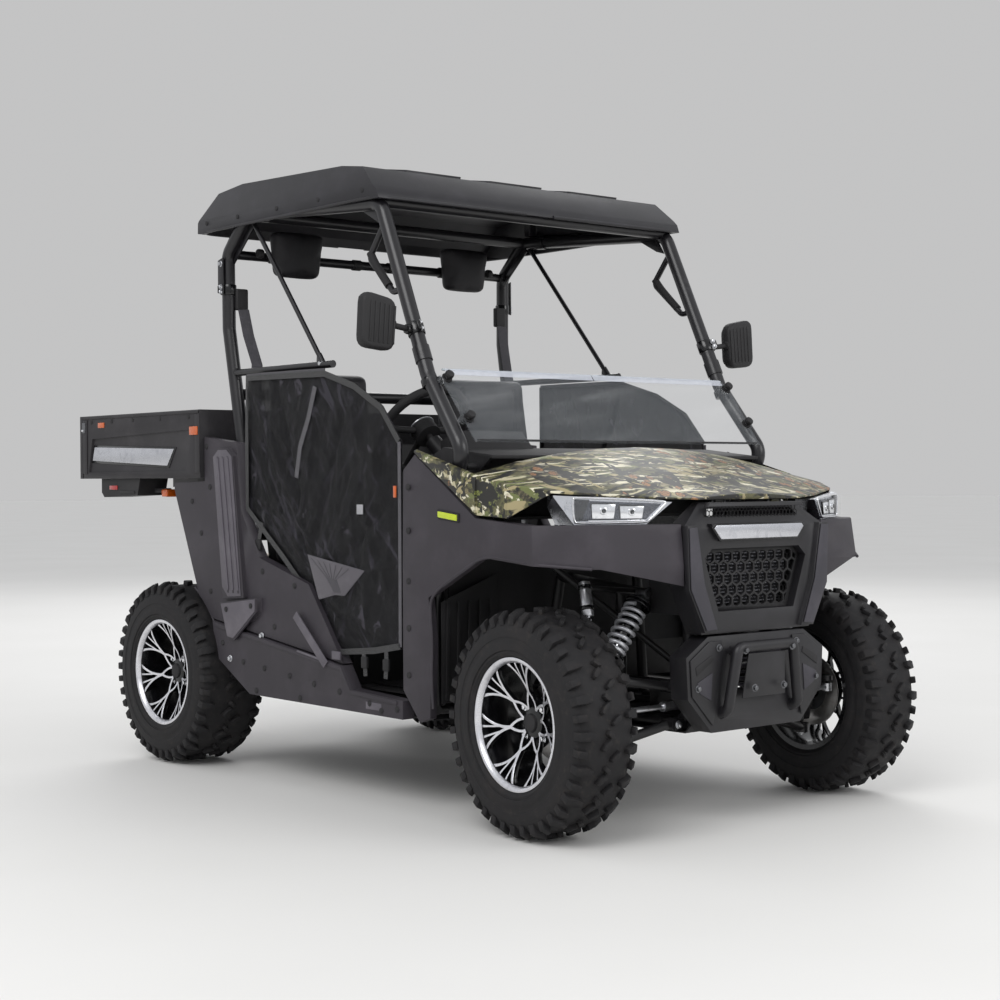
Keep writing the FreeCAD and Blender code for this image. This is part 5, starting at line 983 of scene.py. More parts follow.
def nose_shroud(name):
    """Dark side wall of the air duct behind the grille."""
    return side_plate(name, -236, [(-212, 612), (-60, 612), (-60, 868), (-212, 868)], 4, DEEP_BLACK, 0.0015)


def make_nose():
    both(nose_shroud, "chassis")
    both(lamp_inside, "chassis")
    both(lamp_cover, "chassis")
    both(strut_trim, "chassis")
    both(bumper_cheek, "chassis")
    badge = face_plate("bare_badge_plate", -274, ((-182, 868), (182, 868), (191, 859), (163, 828),
                                                  (-163, 828), (-191, 859)), -4, BRUSHED, 0.0015, 3)
    border = face_plate("badge_border", -272, ((-190, 872), (190, 872), (199, 861), (167, 823), (-167, 823),
                                               (-199, 861)), -4, GLOSS_BLACK, 0.002, 3)
    seat(badge, "chassis")
    seat(border, "chassis")
    seat(hex_mesh("slot_mesh", -246, 888, 922, 200, 186, 15, 3.2, DEEP_BLACK), "chassis")
    seat(hex_mesh("fine_mesh", -222, 628, 796, 168, 214, 18, 2.6, DEEP_BLACK), "chassis")
    slats = [block("slat", (-112 - z * 0.02, -262, 404 + z), (112 + z * 0.02, -250, 412 + z), STRUT_GREY,
                   0.002) for z in range(0, 92, 18)]
    seat(joined("guard_slats", slats), "chassis")
    guard = plate("guard_plate", [(-92, -290, 372), (92, -290, 372), (78, -302, 500), (-78, -302, 500)],
                  (0, 5, 2), NOSE_BLACK, 0.003, 3)
    bolts = spread(hex_bolt(0.008, CAST), "guard_bolts", [((x, -309, z), (0, -1, 0)) for x, z in
                                             ((-100, 512), (100, 512), (-62, 402), (62, 402))])
    seat(joined("guard_pieces", [guard, bolts]), "chassis")
    brow = plate("nose_brow", [(-196, -263, 932), (196, -263, 932), (206, -266, 920), (-206, -266, 920)],
                 (0, 18, 0), NOSE_BLACK, 0.002)
    seat(brow, "chassis")


# Suspension

def coil(name, top, low, radius, wire, turns, finish):
    """Helical spring along a line, its two end turns closed up."""
    top, low = Vector(top), Vector(low)
    along = (low - top).normalized()
    first = along.orthogonal().normalized()
    second = along.cross(first)
    points = []
    count = int(turns * 8)
    for index in range(count + 1):
        share = index / count
        eased = share - 0.03 * math.sin(math.tau * share)
        turn = math.tau * turns * share
        points.append(top + (low - top) * eased + (first * math.cos(turn) + second * math.sin(turn)) * radius)
    return pipe(name, points, wire, finish, 8, 3)


def damper(name, top, low, spring_radius, canister):
    """Gas damper: eyes with bushes, body, shaft, threaded collar, seats and spring."""
    top, low = Vector(top), Vector(low)
    along = (low - top).normalized()
    length = (low - top).length

    def down(distance):
        return top + along * distance
    bits = []
    for point in (top, low):
        bits += [rod("eye", point - Vector((0, 21, 0)), point + Vector((0, 21, 0)), 17.0, CAST, 0.002),
                 rod("bush", point - Vector((0, 25, 0)), point + Vector((0, 25, 0)), 9.5, RUBBER, 0.001)]
    bits += [rod("neck", down(14), down(34), 15.0, CAST, 0.002),
             rod("body", down(32), down(length * 0.62), 22.0, GLOSS_BLACK, 0.003),
             rod("collar", down(34), down(46), spring_radius + 3.0, GLOSS_BLACK, 0.002, 32),
             rod("lock_ring", down(26), down(33), spring_radius - 4.0, CAST, 0.001, 12),
             rod("shaft", down(length * 0.6), down(length - 16), 9.0, CHROME, 0.001),
             rod("bump_stop", down(length - 70), down(length - 46), 16.0, RUBBER, 0.004),
             rod("low_seat", down(length - 46), down(length - 36), spring_radius + 2.0, GLOSS_BLACK, 0.002,
                 32),
             rod("clevis", down(length - 38), down(length - 12), 14.0, CAST, 0.002),
             coil("spring", down(52), down(length - 51), spring_radius - 5.0, 6.2, 7.5, SPRING)]
    if canister:
        bits += [rod("canister", top + Vector(canister[0]), top + Vector(canister[1]), 19.0, SPRING, 0.004),
                 rod("canister_cap", top + Vector(canister[1]),
                     top + Vector(canister[1]) + (Vector(canister[1]) - Vector(canister[0])).normalized() * 9,
                     17.0, GLOSS_BLACK, 0.002)]
    return joined(name, bits)


def front_damper(name):
    return damper(name, (-245.0, -46.0, 668.0), (-404.0, -46.0, 462.7), 38.0, None)


def rear_damper(name):
    return damper(name, (-330.0, 2010.0, 790.0), (-424.0, 2010.0, 330.0), 38.0,
                  ((-44, -10, -60), (-64, -10, -190)))


def make_suspension():
    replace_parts(both(front_damper, "chassis")[0], "front_shocks")
    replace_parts(both(rear_damper, "chassis")[0], "rear_shocks")
    both(front_fittings, "chassis")
    both(arm_fittings, "chassis")


def front_fittings(name):
    """Bright reservoir on its arm beside the damper, its bands, hose and unions."""
    bits = [rod("reservoir", (-418, 4, 606), (-401, 38, 704), 17.0, ZINC, 0.004),
            rod("band_low", (-415, 10, 624), (-413, 14, 636), 19.5, GLOSS_BLACK, 0.001),
            rod("band_high", (-405, 30, 682), (-403, 34, 694), 19.5, GLOSS_BLACK, 0.001),
            rod("reservoir_neck", (-421, -3, 586), (-418, 4, 606), 8.0, CHROME, 0.001),
            rod("union", (-423, -8, 574), (-421, -3, 588), 10.5, ZINC, 0.001, 6),
            pipe("hose", [(-422, -6, 578), (-424, -20, 552), (-390, -44, 536), (-330, -50, 566),
                          (-280, -48, 634)], 5.0, RUBBER),
            rod("reservoir_arm", (-404, 32, 688), (-176, 40, 668), 8.0, FRAME_BLACK, 0.001)]
    return joined(name, bits)


def arm_fittings(name):
    """Ball joint boots, pivot bolts and grease nipples of the front arms."""
    bits = []
    for ball_z, way in ((447.0, 1.0), (206.0, -1.0)):
        bits += [rod("ball_cap", (-KINGPIN_X, 0, ball_z), (-KINGPIN_X, 0, ball_z + way * 19.0), 17.0, ZINC,
                     0.003),
                 rod("nipple", (-KINGPIN_X, 0, ball_z + way * 18.0), (-KINGPIN_X, 0, ball_z + way * 26.0),
                     3.2, ZINC, 0.0008)]
    template = hex_bolt(0.0085, ZINC)
    places = []
    for sign in (-1.0, 1.0):
        for z in (400.0, 294.0):
            places.append(((-206, sign * 146.0, z), (0, sign, 0)))
        for z in (410.0, 294.0):
            places.append(((-190, WHEELBASE + sign * 161.0, z), (0, sign, 0)))
    bits.append(spread(template, "pivot_bolts", places))
    return joined(name, bits)


# Sides

REAR_ARCH = 346.0


def side_pieces(name):
    """Wing marker, pillar cover, foot block, sill clips, step light and other fittings of one side."""
    bits = [side_plate("marker_seat", -680, ((360, 915), (260, 904), (260, 877), (360, 888)), -5.5,
                       DEEP_BLACK, 0.002),
            side_plate("marker", -684, ((354, 910), (266, 900), (266, 882), (354, 892)), -5.0, LIME, 0.002,
                       3)]
    cover = [(1471, 1084), (1503, 1107), (1557, 1107), (1589, 1083), (1536, 640), (1500, 608), (1418, 614)]
    bits.append(side_plate("pillar_cover", -692.6, cover, -1.6, TRIM_GREY, 0.0008))
    for y in (1490, 1522, 1554):
        bits.append(side_plate("cover_ridge", -694, [(y, 1082), (y + 14, 1082), (y - 48, 632),
                                                     (y - 62, 632)], -3.2, TRIM_GREY, 0.0012))
    foot = [(1536, 583), (1322, 608), (1323, 568), (1458, 470), (1496, 474)]
    bits.append(side_plate("foot_block", -697.5, foot, -3.5, TRIM_GREY, 0.002, 3))
    for y, z in ((1345, 585), (1500, 566)):
        bits.append(rod("foot_pad", (-700, y, z), (-704, y, z), 9.0, DEEP_BLACK, 0.0015))
    clip = round_clip(0.0075, DEEP_BLACK)
    places = [((-684.6, y, z), (-1, 0, 0))
              for y, z in ((560, 312), (700, 318), (860, 340), (1000, 352), (1140, 366), (1290, 380),
                           (1420, 392), (1550, 448), (640, 300), (1080, 300), (1340, 302), (500, 420),
                           (500, 560), (500, 700), (500, 850), (500, 980))]
    places += [((-676.6, y, z), (-1, 0, 0))
               for y, z in ((1310, 700), (1120, 660), (1640, 620), (1700, 820), (1760, 930), (1640, 980),
                            (1660, 1120), (1240, 520))]
    bits += [spread(clip, "side_clips", places),
             spread(hex_bolt(0.008, ZINC), "side_bolts",
                    [((-677, 1314, 486), (-1, 0, 0)), ((-684.5, 1500, 398), (-1, 0, 0))]),
             side_plate("light_bar", -688.0, ((1108, 558), (1087, 580), (914, 430), (936, 408)), -5.0,
                        TRIM_GREY, 0.002),
             block("sill_block", (-692, 846, 440), (-684, 892, 466), TRIM_GREY, 0.0025),
             side_plate("step_light", -688.5, [(930, 434), (1090, 456), (1090, 449), (930, 427)], -2,
                        TRIM_GREY, 0.0008),
             side_plate("label_bed", -683.6, [(640, 300), (720, 300), (720, 322), (640, 322)], -1.2,
                        TRIM_GREY, 0.0006)]
    return joined(name, bits)


def arch_lip(name):
    """Rolled edge round the front wheel opening."""
    line = [(-681, 388, 330), (-681, 396, 420), (-681, 388, 520), (-681, 400, 620), (-681, 392, 660),
            (-681, 330, 700), (-681, 240, 744), (-681, 150, 786), (-681, 40, 777), (-681, -60, 767),
            (-640, -106, 762), (-568, -174, 754)]
    return pipe(name, line, 5.0, CHARCOAL, 8, 4)


def rear_arch_lip(name):
    line = []
    for step in range(15):
        turn = math.radians(171.0 - 7.6 * step)
        line.append((-672.0, WHEELBASE + REAR_ARCH * math.cos(turn),
                     AXLE_HEIGHT + REAR_ARCH * math.sin(turn)))
    line = [point for point in line if point[1] < 1790.0 and point[2] > 400.0]
    return pipe(name, line, 4.0, CHARCOAL, 8, 4)


def inner_liner(name):
    """Splash guard behind the front wheel, on the wing's inner edge."""
    outline = [(-640, 398, 340), (-420, 420, 340), (-400, 420, 720), (-640, 398, 640)]
    sheet = plate("liner", outline, (0, 5, 0), DEEP_BLACK, 0.0015)
    ribs = [plate("liner_rib", [(-630 + 44 * k, 396 + 3 * k, 350), (-618 + 44 * k, 397 + 3 * k, 350),
                                (-612 + 44 * k, 397 + 3 * k, 640), (-624 + 44 * k, 396 + 3 * k, 640)],
                  (0, -5, 0), DEEP_BLACK, 0.001) for k in range(5)]
    return joined(name, [sheet] + ribs)


def make_sides():
    both(side_pieces, "chassis")
    both(arch_lip, "chassis")
    both(rear_arch_lip, "chassis")
    both(inner_liner, "chassis")


# Cage and roof

PILLAR_LOW_Z, PILLAR_HIGH_Z = 1313.0, 1856.0
MIRROR_Z = 1452.0


def pillar_place(z):
    """Middle of the right front pillar at a height."""
    share = (z - PILLAR_LOW_Z) / (PILLAR_HIGH_Z - PILLAR_LOW_Z)
    return Vector((-632.0 + 12.0 * share, 466.0 + 246.0 * share, z))


def clamp(bits, middle, way, radius, half, lug_way):
    """Two-part clamp round a tube: sleeve, flange and two bolts."""
    way = Vector(way).normalized()
    lug_way = Vector(lug_way).normalized()
    middle = Vector(middle)
    bits.append(rod("sleeve", middle - way * half, middle + way * half, radius, GLOSS_BLACK, 0.003, 32))
    flange = middle + lug_way * (radius + 7.0)
    side_way = way.cross(lug_way)
    corners = [flange + way * (half * a) + lug_way * (9.0 * b) - side_way * 5.0
               for a, b in ((-0.9, -1), (0.9, -1), (0.7, 1), (-0.7, 1))]
    bits += [plate("flange", corners, side_way * 10.0, GLOSS_BLACK, 0.002),
             spread(hex_bolt(0.0065, ZINC), "clamp_bolts",
                    [(flange + way * (half * a) + side_way * 5.0, side_way) for a in (-0.5, 0.5)])]


def cage_fittings(name):
    """Clamps, gussets and brackets of the cage's right side."""
    bits = []
    run = pillar_place(PILLAR_HIGH_Z) - pillar_place(PILLAR_LOW_Z)
    clamp(bits, pillar_place(MIRROR_Z), run, 27.0, 20.0, (-0.35, -0.9, 0.3))
    clamp(bits, pillar_place(1290), run, 26.5, 13.0, (0.3, -0.95, 0.2))
    clamp(bits, (-619, 1600, 1660), (0, 0, 1), 27.0, 18.0, (-1, 0, 0.0))
    bits += [plate("latch_plate", [(-646, 1584, 1640), (-646, 1584, 1770), (-650, 1612, 1760),
                                   (-650, 1612, 1650)], (-6, 0, 0), CAGE_BLACK, 0.002),
             side_plate("front_gusset", -612, [(742, 1850), (860, 1862), (742, 1800), (706, 1790)], 6,
                        CAGE_BLACK, 0.0015),
             side_plate("rear_gusset", -612, [(1450, 1892), (1560, 1810), (1588, 1740), (1440, 1870)], 6,
                        CAGE_BLACK, 0.0015),
             side_plate("stay_foot", -634, [(990, 1362), (1050, 1362), (1046, 1412), (1030, 1412)], 8,
                        CAGE_BLACK, 0.0015),
             side_plate("hip_bracket", -612, [(1540, 1350), (1590, 1350), (1590, 1398), (1556, 1398)], -9,
                        CAGE_BLACK, 0.0015),
             spread(hex_bolt(0.0075, ZINC), "cage_bolts", [((-634, 1022, 1376), (-1, 0, 0)),
                                                           ((-621, 1572, 1374), (-1, 0, 0)),
                                                           ((-652, 1598, 1668), (-1, 0, 0)),
                                                           ((-652, 1598, 1748), (-1, 0, 0))])]
    foam = [(-622, 764, 1704), (-624, 748, 1680), (-627, 700, 1632), (-629, 660, 1594)]
    bits.append(pipe("handle_grip", foam, 13.0, GRIP_RUBBER, 10, 4))
    return joined(name, bits)


def headrest_mount(name):
    """Round end knob and the two brackets that hold one headrest to its bar."""
    bits = [rod("knob", (-505, 1560, 1790), (-528, 1560, 1790), 16.0, DEEP_BLACK, 0.005)]
    for x in (-440.0, -316.0):
        bits += [rod("bar_clamp", (x - 13, 1600, 1784), (x + 13, 1600, 1784), 20.0, DEEP_BLACK, 0.003),
                 block("bar_link", (x - 10, 1572, 1772), (x + 10, 1592, 1796), DEEP_BLACK, 0.002)]
    bits.append(rod("bar_clamp_mid", (-96, 1600, 1784), (-60, 1600, 1784), 19.5, DEEP_BLACK, 0.003))
    return joined(name, bits)


def roof_hump(name):
    """Raised moulding at the rear of the roof, one each side of the middle."""
    outline = [(-470, 1380, 2000), (-440, 1300, 2000), (-130, 1300, 2000), (-96, 1380, 2000),
               (-104, 1600, 1997), (-150, 1650, 1990), (-420, 1650, 1990), (-462, 1600, 1997)]
    return plate(name, outline, (0, 0, 18), ROOF_BLACK, 0.011, 4)


def roof_edge(name):
    """Bead round the lower edge of the roof's right side, with its fixing bolts."""
    line = [(-60, 676, 1866), (-560, 676, 1866), (-640, 684, 1868), (-655, 720, 1870), (-655, 1100, 1868),
            (-655, 1500, 1868), (-654, 1690, 1868), (-630, 1736, 1868), (-540, 1741, 1868), (-60, 1741, 1868)]
    return joined(name,
                  [pipe("bead", line, 5.5, ROOF_BLACK, 8, 6),
                   spread(round_clip(0.006, DEEP_BLACK), "roof_clips",
                          [((-657.5, y, 1896), (-1, 0, 0)) for y in (760, 1000, 1240, 1480, 1680)])])


def screen_fittings(name):
    """Clamp knobs, pads and edge beads on one side of the half screen, with a pale top bead and band that are
    a painted highlight of its top edge.
    """
    bits = []
    foot, head = Vector((0.0, 289.0, 1085.0)), Vector((0.0, 466.0, 1313.0))
    run = head - foot
    ahead = Vector((0.0, -run.z, run.y)).normalized()
    low = foot + run * 0.03 + ahead * 30.0
    for share, reach in ((0.3, 600.0), (0.85, 604.0)):
        point = low + run * 0.97 * share + Vector((-reach, 0.0, 0.0))
        bits += [rod("pad", point + ahead * 5.2, point + ahead * 9.5, 17.0, RUBBER, 0.0015),
                 rod("knob_stem", point + ahead * 9.0, point + ahead * 16.0, 7.0, ZINC, 0.001),
                 rod("knob", point + ahead * 15.0, point + ahead * 31.0, 15.0, DEEP_BLACK, 0.004, 7)]
    for share in (0.02, 0.98):
        start = low + run * 0.97 * share + Vector((-602.0, 0.0, 0.0))
        end = low + run * 0.97 * share + Vector((-2.0, 0.0, 0.0))
        # The top bead is pale, a painted highlight of the screen's top edge; the lower bead is plain black.
        bits.append(rod("screen_bead", start + ahead * 2.5, end + ahead * 2.5, 3.4,
                        DEEP_BLACK if share < 0.5 else HIGHLIGHT_BEAD, 0.0006, 12))
    # A pale band along the top of the screen: a painted highlight of its edge.
    band = []
    for share, reach in ((0.90, 600.0), (0.90, 2.0), (0.985, 2.0), (0.985, 594.0)):
        band.append(low + run * 0.97 * share + Vector((-reach, 0.0, 0.0)) + ahead * 5.3)
    bits.append(plate("painted_highlight_band", band, ahead * 1.0, EDGE_HIGHLIGHT, 0.0003, 1))
    return joined(name, bits)


ARC_STEPS = 4


def eased(corners, radius):
    """Corners of a flat outline (x, z) rounded off by short arcs."""
    line = []
    count = len(corners)
    for index in range(count):
        here = Vector(corners[index])
        back = (Vector(corners[index - 1]) - here).normalized() * radius
        ahead = (Vector(corners[(index + 1) % count]) - here).normalized() * radius
        for step in range(ARC_STEPS + 1):
            share = step / ARC_STEPS
            line.append(here + back * (1.0 - share) ** 2 + ahead * share ** 2)
    return line


def mirror_head(name):
    """Wing mirror: rounded ribbed shell, glass, ball stem and arm."""
    corners = [(-848, 1392), (-728, 1380), (-716, 1534), (-838, 1558)]
    shell = face_plate("shell", 500, eased(corners, 34), 40, DEEP_BLACK, 0.012, 4)
    inner = [(-836, 1402), (-736, 1391), (-727, 1524), (-827, 1546)]
    ring = face_plate("ring", 538, eased(inner, 28), 11, DEEP_BLACK, 0.003)
    pane = [(-826, 1414), (-746, 1404), (-738, 1514), (-818, 1533)]
    glass = face_plate("glass", 548, eased(pane, 20), 2.4, CHROME, 0.0006)
    bits = [shell, ring, glass]
    for k in range(6):
        x = -824.0 + 17.0 * k
        bits.append(face_plate("shell_rib", 501, [(x, 1408 - k * 1.5), (x + 7, 1408 - k * 1.5),
                                                  (x + 16, 1530 - k * 3), (x + 9, 1530 - k * 3)], -3,
                               DEEP_BLACK, 0.0012))
    pillar = pillar_place(MIRROR_Z)
    start = Vector((pillar.x - 25.6, pillar.y, MIRROR_Z))
    bits += [rod("mirror_arm", start, (-735, 520, 1462), 9.0, DEEP_BLACK, 0.001),
             rod("mirror_ball", (-716, 520, 1461), (-738, 520, 1463), 16.0, GRIP_RUBBER, 0.005),
             rod("mirror_boss", start + Vector((4.0, 0, 0)), start - Vector((12.0, 0, 0)), 16.0,
                 GLOSS_BLACK, 0.003, 8)]
    return joined(name, bits)


def seat_belt(name):
    """Belt reel on the rear post with the webbing down to its anchor beside the seat."""
    bits = [block("reel", (-608, 1566, 1590), (-560, 1588, 1664), DEEP_BLACK, 0.006, 3),
            tape("belt", [(-584, 1562, 1592), (-578, 1540, 1500), (-566, 1506, 1400), (-592, 1480, 1200),
                          (-600, 1470, 1000), (-600, 1460, 860)], 44.0, 2.0, (0, -1, 0.1), STRAP),
            block("belt_anchor", (-616, 1450, 820), (-584, 1470, 866), ZINC, 0.003)]
    return joined(name, bits)


def make_cage():
    both(cage_fittings, "chassis")
    both(headrest_mount, "chassis")
    both(roof_hump, "chassis")
    both(roof_edge, "chassis")
    both(screen_fittings, "chassis")
    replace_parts(both(mirror_head, "chassis")[0], "mirrors")
    both(seat_belt, "chassis")


# Cab

def make_cab():
    """What the open cab shows: dials, switches, vents, shifter, pedals, wheel cap and floor mats."""
    back = Vector((0.0, 0.74, 0.67)).normalized()
    pod = Vector((-SEAT_X, 566.0, 1106.0))
    bits = [rod("dial_ring", pod, pod + back * 9.0, 46.0, GLOSS_BLACK, 0.003, 40),
            rod("dial_face", pod + back * 8.0, pod + back * 10.5, 39.0, DIAL_FACE, 0.001, 40)]
    for x in (-560.0, -60.0, 60.0, 540.0):
        bits.append(rod("vent_ring", (x, 576, 1018), (x, 588, 1016), 33.0, GLOSS_BLACK, 0.003, 28))
        for k in range(-2, 3):
            bits.append(block("vent_blade", (x - 27, 586, 1014 + k * 11), (x + 27, 590, 1017 + k * 11),
                              DEEP_BLACK, 0.0008))
    for k in range(5):
        bits.append(block("switch", (-176 + k * 44, 576, 950), (-146 + k * 44, 588, 990), GLOSS_BLACK,
                          0.004, 3))
    bits += [plate("glove_lid", [(180, 580, 1000), (500, 580, 1000), (480, 562, 905), (200, 562, 905)],
                   (0, 6, -1), DEEP_BLACK, 0.004, 3),
             block("glove_latch", (325, 574, 918), (355, 584, 932), ZINC, 0.002),
             pipe("grab_bar", [(200, 570, 1050), (200, 606, 1062), (240, 612, 1064), (440, 612, 1064),
                               (480, 606, 1062), (480, 570, 1050)], 10.0, GRIP_RUBBER, 10, 6)]
    seat(joined("dash_fittings", bits), "chassis")
    floor_bits = []
    for x in (-450.0, -330.0):
        floor_bits += [rod("pedal_arm", (x, 470, 640), (x, 560, 470), 8.0, ZINC, 0.001),
                       plate("pedal_pad", [(x - 30, 556, 500), (x + 30, 556, 500), (x + 30, 590, 440),
                                           (x - 30, 590, 440)], (0, 7, 4), RUBBER, 0.003)]
    floor_bits += [block("shift_base", (-50, 700, 398), (50, 860, 412), DEEP_BLACK, 0.005, 3),
                   rod("shift_lever", (0, 780, 405), (-8, 750, 640), 8.0, CHROME, 0.001),
                   rod("shift_knob", (-8, 752, 630), (-10, 744, 690), 19.0, GRIP_RUBBER, 0.008)]
    for side in (-1.0, 1.0):
        middle = side * MAT_X
        floor_bits.append(block("floor_mat", (middle - 190, 600, 349), (middle + 190, 905, 354), RUBBER,
                                0.003))
    seat(joined("floor_fittings", floor_bits), "chassis")
    cap_way = Vector((0.0, 0.788, 0.6157))
    middle = Vector((-SEAT_X, 838.0, 1165.0))
    cap = rod("wheel_cap", middle + cap_way * 4.0, middle + cap_way * 14.0, 38.0, DEEP_BLACK, 0.004, 6)
    ring = rod("wheel_cap_ring", middle + cap_way * 3.0, middle + cap_way * 8.0, 46.0, ZINC, 0.002, 40)
    seat(joined("wheel_cap", [cap, ring]), "steering_wheel")


# Cargo bed

def bed_side(name):
    """Right side of the box: bare name plate, reflectors, rim roll, latch and ribs."""
    bits = [side_plate("bare_plate", -679.5, [(2462, 1132), (1872, 1116), (1918, 1056), (2480, 1080)], -6.0,
                       BRUSHED, 0.002, 3),
            side_plate("plate_seat", -679.0, [(2474, 1139), (1856, 1122), (1910, 1048), (2494, 1072)], -3.2,
                       GLOSS_BLACK, 0.0015),
            block("reflector", (-691, 2378, 1203), (-686, 2426, 1223), AMBER, 0.002, 3),
            block("reflector_front", (-694.5, 1694, 1162), (-686, 1748, 1192), AMBER, 0.002, 3),
            pipe("rim_roll", [(-686, 1690, 1243), (-686, 1900, 1243), (-686, 2200, 1243),
                              (-686, 2540, 1243)], 7.0, BED_BLACK, 8, 3)]
    for y in (1700, 2530):
        bits.append(side_plate("corner_cap", -688, [(y - 16, 1030), (y + 16, 1030), (y + 16, 1236),
                                                    (y - 16, 1236)], -3.0, BED_BLACK, 0.0025))
    bits += [block("latch_body", (-694, 2526, 1186), (-686, 2548, 1226), CAST, 0.003),
             rod("latch_pin", (-690, 2536, 1196), (-690, 2552, 1196), 5.0, CHROME, 0.001),
             spread(round_clip(0.006, DEEP_BLACK), "bed_clips",
                    [((-688.4, y, 1226), (-1, 0, 0)) for y in (1760, 1960, 2160, 2320, 2480)])]
    return joined(name, bits)


def lamp_cluster(name):
    """Tail lamp: dark case with a ribbed red face to the rear and an amber end."""
    bits = [face_plate("red_face", 2424, [(-668, 1005), (-596, 1005), (-596, 962), (-668, 962)], 7, RED,
                       0.003, 3),
            face_plate("amber_face", 2424, [(-592, 1005), (-568, 1005), (-568, 962), (-592, 962)], 6, AMBER,
                       0.0025, 3),
            block("side_reflector", (-679, 2300, 970), (-675, 2360, 986), RED, 0.0015),
            block("turn_stalk", (-616, 2040, 960), (-596, 2132, 976), DEEP_BLACK, 0.003),
            block("turn_lens", (-638, 2004, 944), (-580, 2044, 972), AMBER, 0.005, 3),
            block("case_rib", (-679, 2170, 956), (-674, 2280, 966), DEEP_BLACK, 0.0015)]
    return joined(name, bits)


def make_bed():
    both(bed_side, "bed")
    both(lamp_cluster, "bed")
    bits = [face_plate("gate_recess_rib", 2570, [(x - 9, 1062), (x + 9, 1062), (x + 9, 1190),
                                                 (x - 9, 1190)], 5, BED_BLACK, 0.0025)
            for x in (-480.0, -320.0, -160.0, 0.0, 160.0, 320.0, 480.0)]
    bits.append(block("gate_handle", (-52, 2570, 1166), (52, 2577.5, 1182), CAST, 0.003, 3))
    for side in (-1.0, 1.0):
        bits += [block("gate_reflector", (side * 640 - 22, 2573, 1080), (side * 640 + 22, 2577.5, 1120),
                       RED, 0.003, 3),
                 block("gate_strike", (side * 676 - 9, 2562, 1188), (side * 676 + 9, 2577, 1224), CAST,
                       0.003)]
    seat(joined("gate_pieces", bits), "tailgate")


# Soft goods

COVER_PRESSURE = 4.0
COVER_FRAMES = 20


def puffed(piece, voxel, cap):
    """Blow the cover out by cloth pressure, no point further than the cap, then smooth once."""
    piece.data.remesh_voxel_size = voxel
    pick(piece)
    bpy.ops.object.voxel_remesh()
    rest = [vertex.co.copy() for vertex in piece.data.vertices]
    cloth = piece.modifiers.new("cover", "CLOTH")
    cloth.settings.use_pressure = True
    cloth.settings.uniform_pressure_force = COVER_PRESSURE
    cloth.settings.effector_weights.gravity = 0.0
    cloth.settings.quality = 5
    scene = bpy.context.scene
    for step in range(1, COVER_FRAMES + 1):
        scene.frame_set(step)
    graph = bpy.context.evaluated_depsgraph_get()
    blown = [vertex.co.copy() for vertex in piece.evaluated_get(graph).data.vertices]
    piece.modifiers.remove(cloth)
    scene.frame_set(1)
    for vertex, start, end in zip(piece.data.vertices, rest, blown):
        move = end - start
        vertex.co = start + (move.normalized() * cap if move.length > cap else move)
    run_modifier(piece, "SMOOTH", factor=0.5, iterations=6)
    run_modifier(piece, "SUBSURF", levels=1, render_levels=1)
    pick(piece)
    bpy.ops.object.shade_smooth()
    return piece


def cushion_form(name, corners):
    """Pad from eight corners (bottom four, then top four), its edges bevelled so that it can take a shape."""
    bpy.ops.mesh.primitive_cube_add(size=2.0)
    piece = named(name, VINYL)
    order = {(-1, -1, -1): 0, (1, -1, -1): 1, (1, 1, -1): 2, (-1, 1, -1): 3,
             (-1, -1, 1): 4, (1, -1, 1): 5, (1, 1, 1): 6, (-1, 1, 1): 7}
    for vertex in piece.data.vertices:
        key = tuple(int(round(value)) for value in vertex.co)
        vertex.co = at(*corners[order[key]])
    open_edit(piece)
    bpy.ops.mesh.bevel(offset=0.022, segments=3, affect="EDGES")
    close_edit()
    return piece


def groove(piece, lines, depth, width):
    """Press sewn channels into the face: each line is a start, an end and the way the face looks."""
    for vertex in piece.data.vertices:
        pull = Vector((0.0, 0.0, 0.0))
        for start, end, way in lines:
            run = end - start
            share = min(1.0, max(0.0, (vertex.co - start).dot(run) / run.length_squared))
            gap = vertex.co - start - run * share
            side = gap - way * gap.dot(way)
            if side.length < width and gap.dot(way) > -0.03:
                pull -= way * depth * (0.5 + 0.5 * math.cos(math.pi * side.length / width))
        vertex.co += pull


